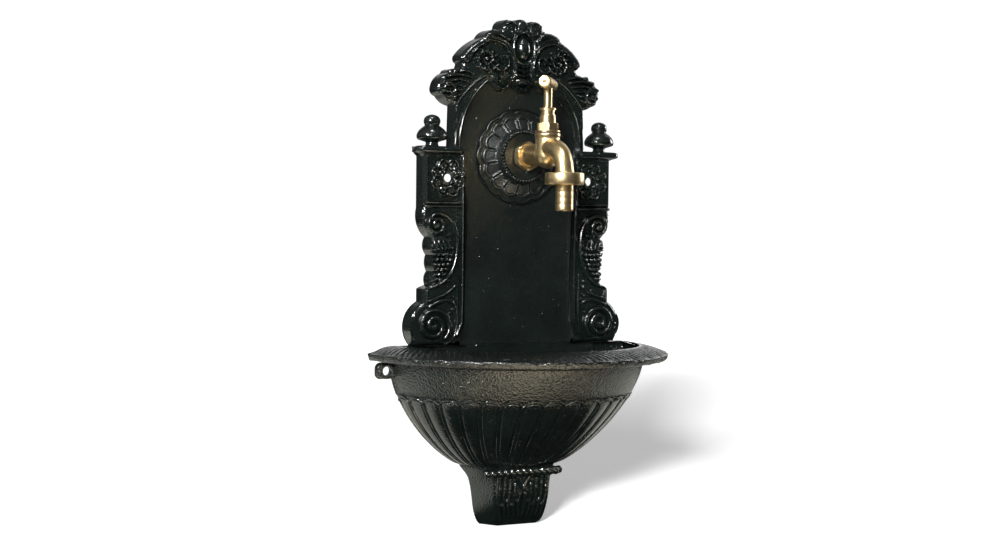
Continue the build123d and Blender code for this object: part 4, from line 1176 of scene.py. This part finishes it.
def tap_head():
    """Bonnet with its hexagon, gland and spindle."""
    hexagon = [(10.9, 48.2), (11.7, 48.4), (11.7, 54.4), (10.9, 55.6), (10.0, 56.0)]
    bonnet = joined(
        lathe([(12.3, 46.5), (12.75, 46.9), (12.75, 48.0), (12.4, 48.4), (9.0, 48.5)], BARREL),
        lathe(hexagon, BARREL, "Z", 144, across_flats=20.2, turn=radians(-8.4)),
        lathe([(8.15, 55.6), (8.15, 63.6), (7.8, 64.2), (7.0, 64.3)], BARREL))
    add_brass("bonnet_turned", bonnet, "bonnet")
    gland = [(6.9, 64.1), (6.9, 68.4), (7.4, 68.8), (8.0, 68.9), (8.25, 69.2), (8.25, 70.8), (7.9, 71.2),
             (4.5, 71.2)]
    add_brass("gland_turned", lathe(gland, BARREL), "gland_nut")
    stem = [(4.35, 60.0), (4.35, 89.0), (4.6, 92.0), (5.2, 95.0)]
    add_brass("spindle_turned", lathe(stem, BARREL, segments=64), "spindle", "spindle")


def tee_bar():
    """Bar across the spindle's top, with dished ends."""
    ends = [(0.02, 1.6), (1.1, 0.7), (1.6, 0.2), (4.9, 0), (5.9, 0.35), (6.65, 1.4)]
    end = [(radius, TEE_HALF_LENGTH - dish) for radius, dish in ends]
    points, faces = lathe([(radius, -place) for radius, place in end] + end[::-1], (0, 0, 0), "Z", 72)
    along = Vector((sin(TEE_AZIMUTH), cos(TEE_AZIMUTH), 0))
    turn = np.array(along.to_track_quat("Z", "Y").to_matrix())
    points = points @ turn.T + (0, BARREL_Y, TEE_HEIGHT)
    add_brass("tee_bar_turned", (points, faces), "tee_bar", "spindle")


def hose_union():
    """Union nut below the spout, and the hose tail with its shallow grooves."""
    nut = [(9.3, -7.6), (18.6, -7.6), (19.2, -7.3), (19.5, -6.7), (19.5, 3.4), (19.2, 4.0), (18.6, 4.3),
           (13.4, 4.3)]
    add_brass("union_nut_turned", lathe(nut, SPOUT, segments=144), "union_nut", "union_nut")
    wall, groove = 8.9, 8.82
    tail = [(7.9, -33.5), (8.6, -33.3), (8.8, -32.8)]
    for bottom in (-31.5, -25.5, -19.5):
        tail += [(wall, bottom), (wall, bottom + 4.6), (groove, bottom + 4.9), (groove, bottom + 5.3),
                 (wall, bottom + 5.6)]
    tail.append((wall, -6.5))
    add_brass("hose_tail_turned", lathe(tail, SPOUT), "hose_tail", "hose_tail")


def dress_cad_nodes():
    """Materials for the solids that stay as they are: fasteners, drain, washers and inner tap parts."""
    for entry in frame["record"]["subparts"]:
        node = frame["nodes"][entry["node"]]
        node.data.materials.clear()
        node.data.materials.append(SLOTS[entry["material_slot"]])


# Stage, light and camera

def floor_polar(nodes, where):
    """Bearing of a floor point from the camera's side, negative to its left, and its distance."""
    x, y, _ = nodes.parts(where)
    sine, cosine = sin(CAMERA_HEADING), cos(CAMERA_HEADING)
    back = nodes.math("MULTIPLY_ADD", x, sine, nodes.times(y, cosine))
    across = nodes.math("MULTIPLY_ADD", x, cosine, nodes.times(y, -sine))
    bearing = nodes.math("ARCTAN2", across, nodes.times(back, -1.0))
    return bearing, nodes.length(across, back)


def painted_floor_reflection(nodes, bearing, radius):
    """Painted reflection: the floor's colour for reflections only, dim, with painted shade close round the
    fountain, a painted tan lit zone in front and painted pale lit zones at the sides.
    """
    # Painted shade within the fountain's reach, kept smaller at the left
    painted_lit_near_left = nodes.times(nodes.ramp(bearing, -0.9, -1.2), nodes.ramp(radius, 0.05, 0.08))
    outside_painted_shade = nodes.math("MAXIMUM", nodes.ramp(radius, 0.15, 0.21), painted_lit_near_left)
    # Painted tan lit zone in front and painted pale lit zones at the sides
    front = nodes.times(nodes.ramp(bearing, -0.50, -0.30), nodes.ramp(bearing, 1.30, 1.10),
                        nodes.ramp(radius, 0.48, 0.40))
    sides = nodes.math("ADD", nodes.ramp(bearing, -1.0, -1.25), nodes.ramp(bearing, 1.60, 1.90))
    sides = nodes.times(sides, nodes.ramp(radius, 1.2, 0.8))
    ground = nodes.mix(front, grey(0.03), (0.85, 0.72, 0.50, 1))
    ground = nodes.mix(sides, ground, (0.85, 0.85, 0.76, 1))
    return nodes.mix(outside_painted_shade, grey(0.015), ground)


def stage():
    """Wide pale floor, white further off by a painted glow; reflections see it dim, with painted shade and
    painted lit zones round the fountain.
    """
    material, nodes, where, surface = new_material("pale_floor")
    path = nodes.add("ShaderNodeLightPath")
    bearing, radius = floor_polar(nodes, where)
    pale = nodes.mix(nodes.noise(where, 1.5, 1.0), grey(0.86), grey(0.88))
    ground = painted_floor_reflection(nodes, bearing, radius)
    # Reflections see the painted reflection, the camera the pale floor
    nodes.set(surface, "Base Color", nodes.mix(path.outputs["Is Glossy Ray"], pale, ground))
    surface.inputs["Roughness"].default_value = 0.9
    surface.inputs["Specular IOR Level"].default_value = 0.0
    surface.inputs["Emission Color"].default_value = (1, 1, 1, 1)
    # Painted light: the floor glows for the camera, weakly near the fountain and fully far off, which
    # whitens it and fades the cast shadow with distance
    painted_floor_glow = nodes.ramp(radius, 0.8, 3.2, 0.28, 1.0)
    nodes.set(surface, "Emission Strength", nodes.times(path.outputs["Is Camera Ray"], painted_floor_glow))
    signs = ((-1, -1), (1, -1), (1, 1), (-1, 1))
    corners = [(x * FLOOR_HALF, y * FLOOR_HALF, FLOOR_HEIGHT) for x, y in signs]
    mesh = new_mesh("pale_floor", corners, [(0, 1, 2, 3)])
    mesh.materials.append(material)
    floor = put("pale_floor", mesh)


def studio_world():
    """White for the camera; for reflections a dim room, lighter at the left, above and right behind."""
    world = bpy.data.worlds.new("studio")
    bpy.context.scene.world = world
    world.use_nodes = True
    nodes = Nodes(world.node_tree)
    direction = nodes.add("ShaderNodeTexCoord").outputs["Generated"]
    path = nodes.add("ShaderNodeLightPath")
    # Each lighter patch: its direction, where it starts and is full, and its strength
    patches = (
        ((-1.0, 0.1, 0.1), 0.5, 0.9, 0.20),
        ((-0.3, -0.5, 1.0), 0.3, 0.9, 0.15),
        ((0.8, 0.6, 0.15), 0.6, 0.9, 0.70),
        ((0.46, 0.89, 0.25), 0.80, 0.95, 0.35),
    )
    light = 0.04
    for axis, low, high, strength in patches:
        dot = nodes.add("ShaderNodeVectorMath")
        dot.operation = "DOT_PRODUCT"
        nodes.set(dot, 0, direction)
        nodes.set(dot, 1, Vector(axis).normalized())
        light = nodes.math("MULTIPLY_ADD", nodes.ramp(dot.outputs["Value"], low, high), strength, light)
    light = nodes.math("MAXIMUM", light, path.outputs["Is Camera Ray"])
    background = nodes.add("ShaderNodeBackground", Color=(1, 1, 1, 1), Strength=light)
    nodes.add("ShaderNodeOutputWorld", Surface=background.outputs[0])


def area_light(name, at, target, size, power, colour=(1, 1, 1)):
    """A rectangular lamp of a given size, aimed at a target."""
    data = bpy.data.lights.new(name, "AREA")
    data.shape = "RECTANGLE"
    data.size, data.size_y = size
    data.energy = power
    data.color = colour
    lamp = put(name, data)
    lamp.location = at
    lamp.rotation_euler = (Vector(target) - Vector(at)).to_track_quat("-Z", "Y").to_euler()
    return lamp


def lights():
    """Softboxes that only show as reflections, and one lamp for the plain light and the shadow."""
    boxes = (
        area_light("key", (-1.75, -1.25, 0.75), (0, 0, -0.1), (0.20, 0.36), 90),
        area_light("front", (-1.55, -1.50, 0.30), (0, 0, -0.05), (1.3, 1.1), 3.8),
        area_light("top", (-0.5, -0.8, 1.6), (0, 0, 0), (0.25, 0.25), 16),
        area_light("right", (1.5, 0.0, 0.3), (0, -0.05, -0.1), (0.15, 0.7), 9),
        area_light("warm_card", (-0.048, -0.290, -0.358), (-0.002, -0.201, 0.6), (0.42, 0.22), 1.25,
                   (1.0, 0.88, 0.66)),
    )
    for box in boxes:
        box.visible_diffuse = False
    lamp = area_light("shadow_lamp", (-5.37, -6.88, 2.08), (0, 0, -0.1), (1.1, 1.1), 2400)
    lamp.visible_glossy = False


def camera():
    """Camera at the photograph's place, heading and tilt."""
    data = bpy.data.cameras.new("camera")
    data.lens = CAMERA_LENS
    data.sensor_width = 36.0
    data.clip_end = 50.0
    eye = put("camera", data)
    heading = Matrix.Rotation(-CAMERA_HEADING, 4, "Z")
    tilt = Matrix.Rotation(pi / 2 - CAMERA_PITCH, 4, "X")
    roll = Matrix.Rotation(CAMERA_ROLL, 4, "Z")
    eye.matrix_world = Matrix.Translation(CAMERA_EYE) @ heading @ tilt @ roll
    bpy.context.scene.camera = eye


dress_cad_nodes()
panel_carving()
panel_field()
panel_back()
tap_rosette()
block_caps()
finials()
basin_rim()
basin_bowl()
basin_inside()
basin_lugs()
basin_foot()
foot_collar()
tap_casting()
tap_head()
tee_bar()
hose_union()
stage()
studio_world()
lights()
camera()
bpy.context.scene.view_settings.view_transform = "Standard"
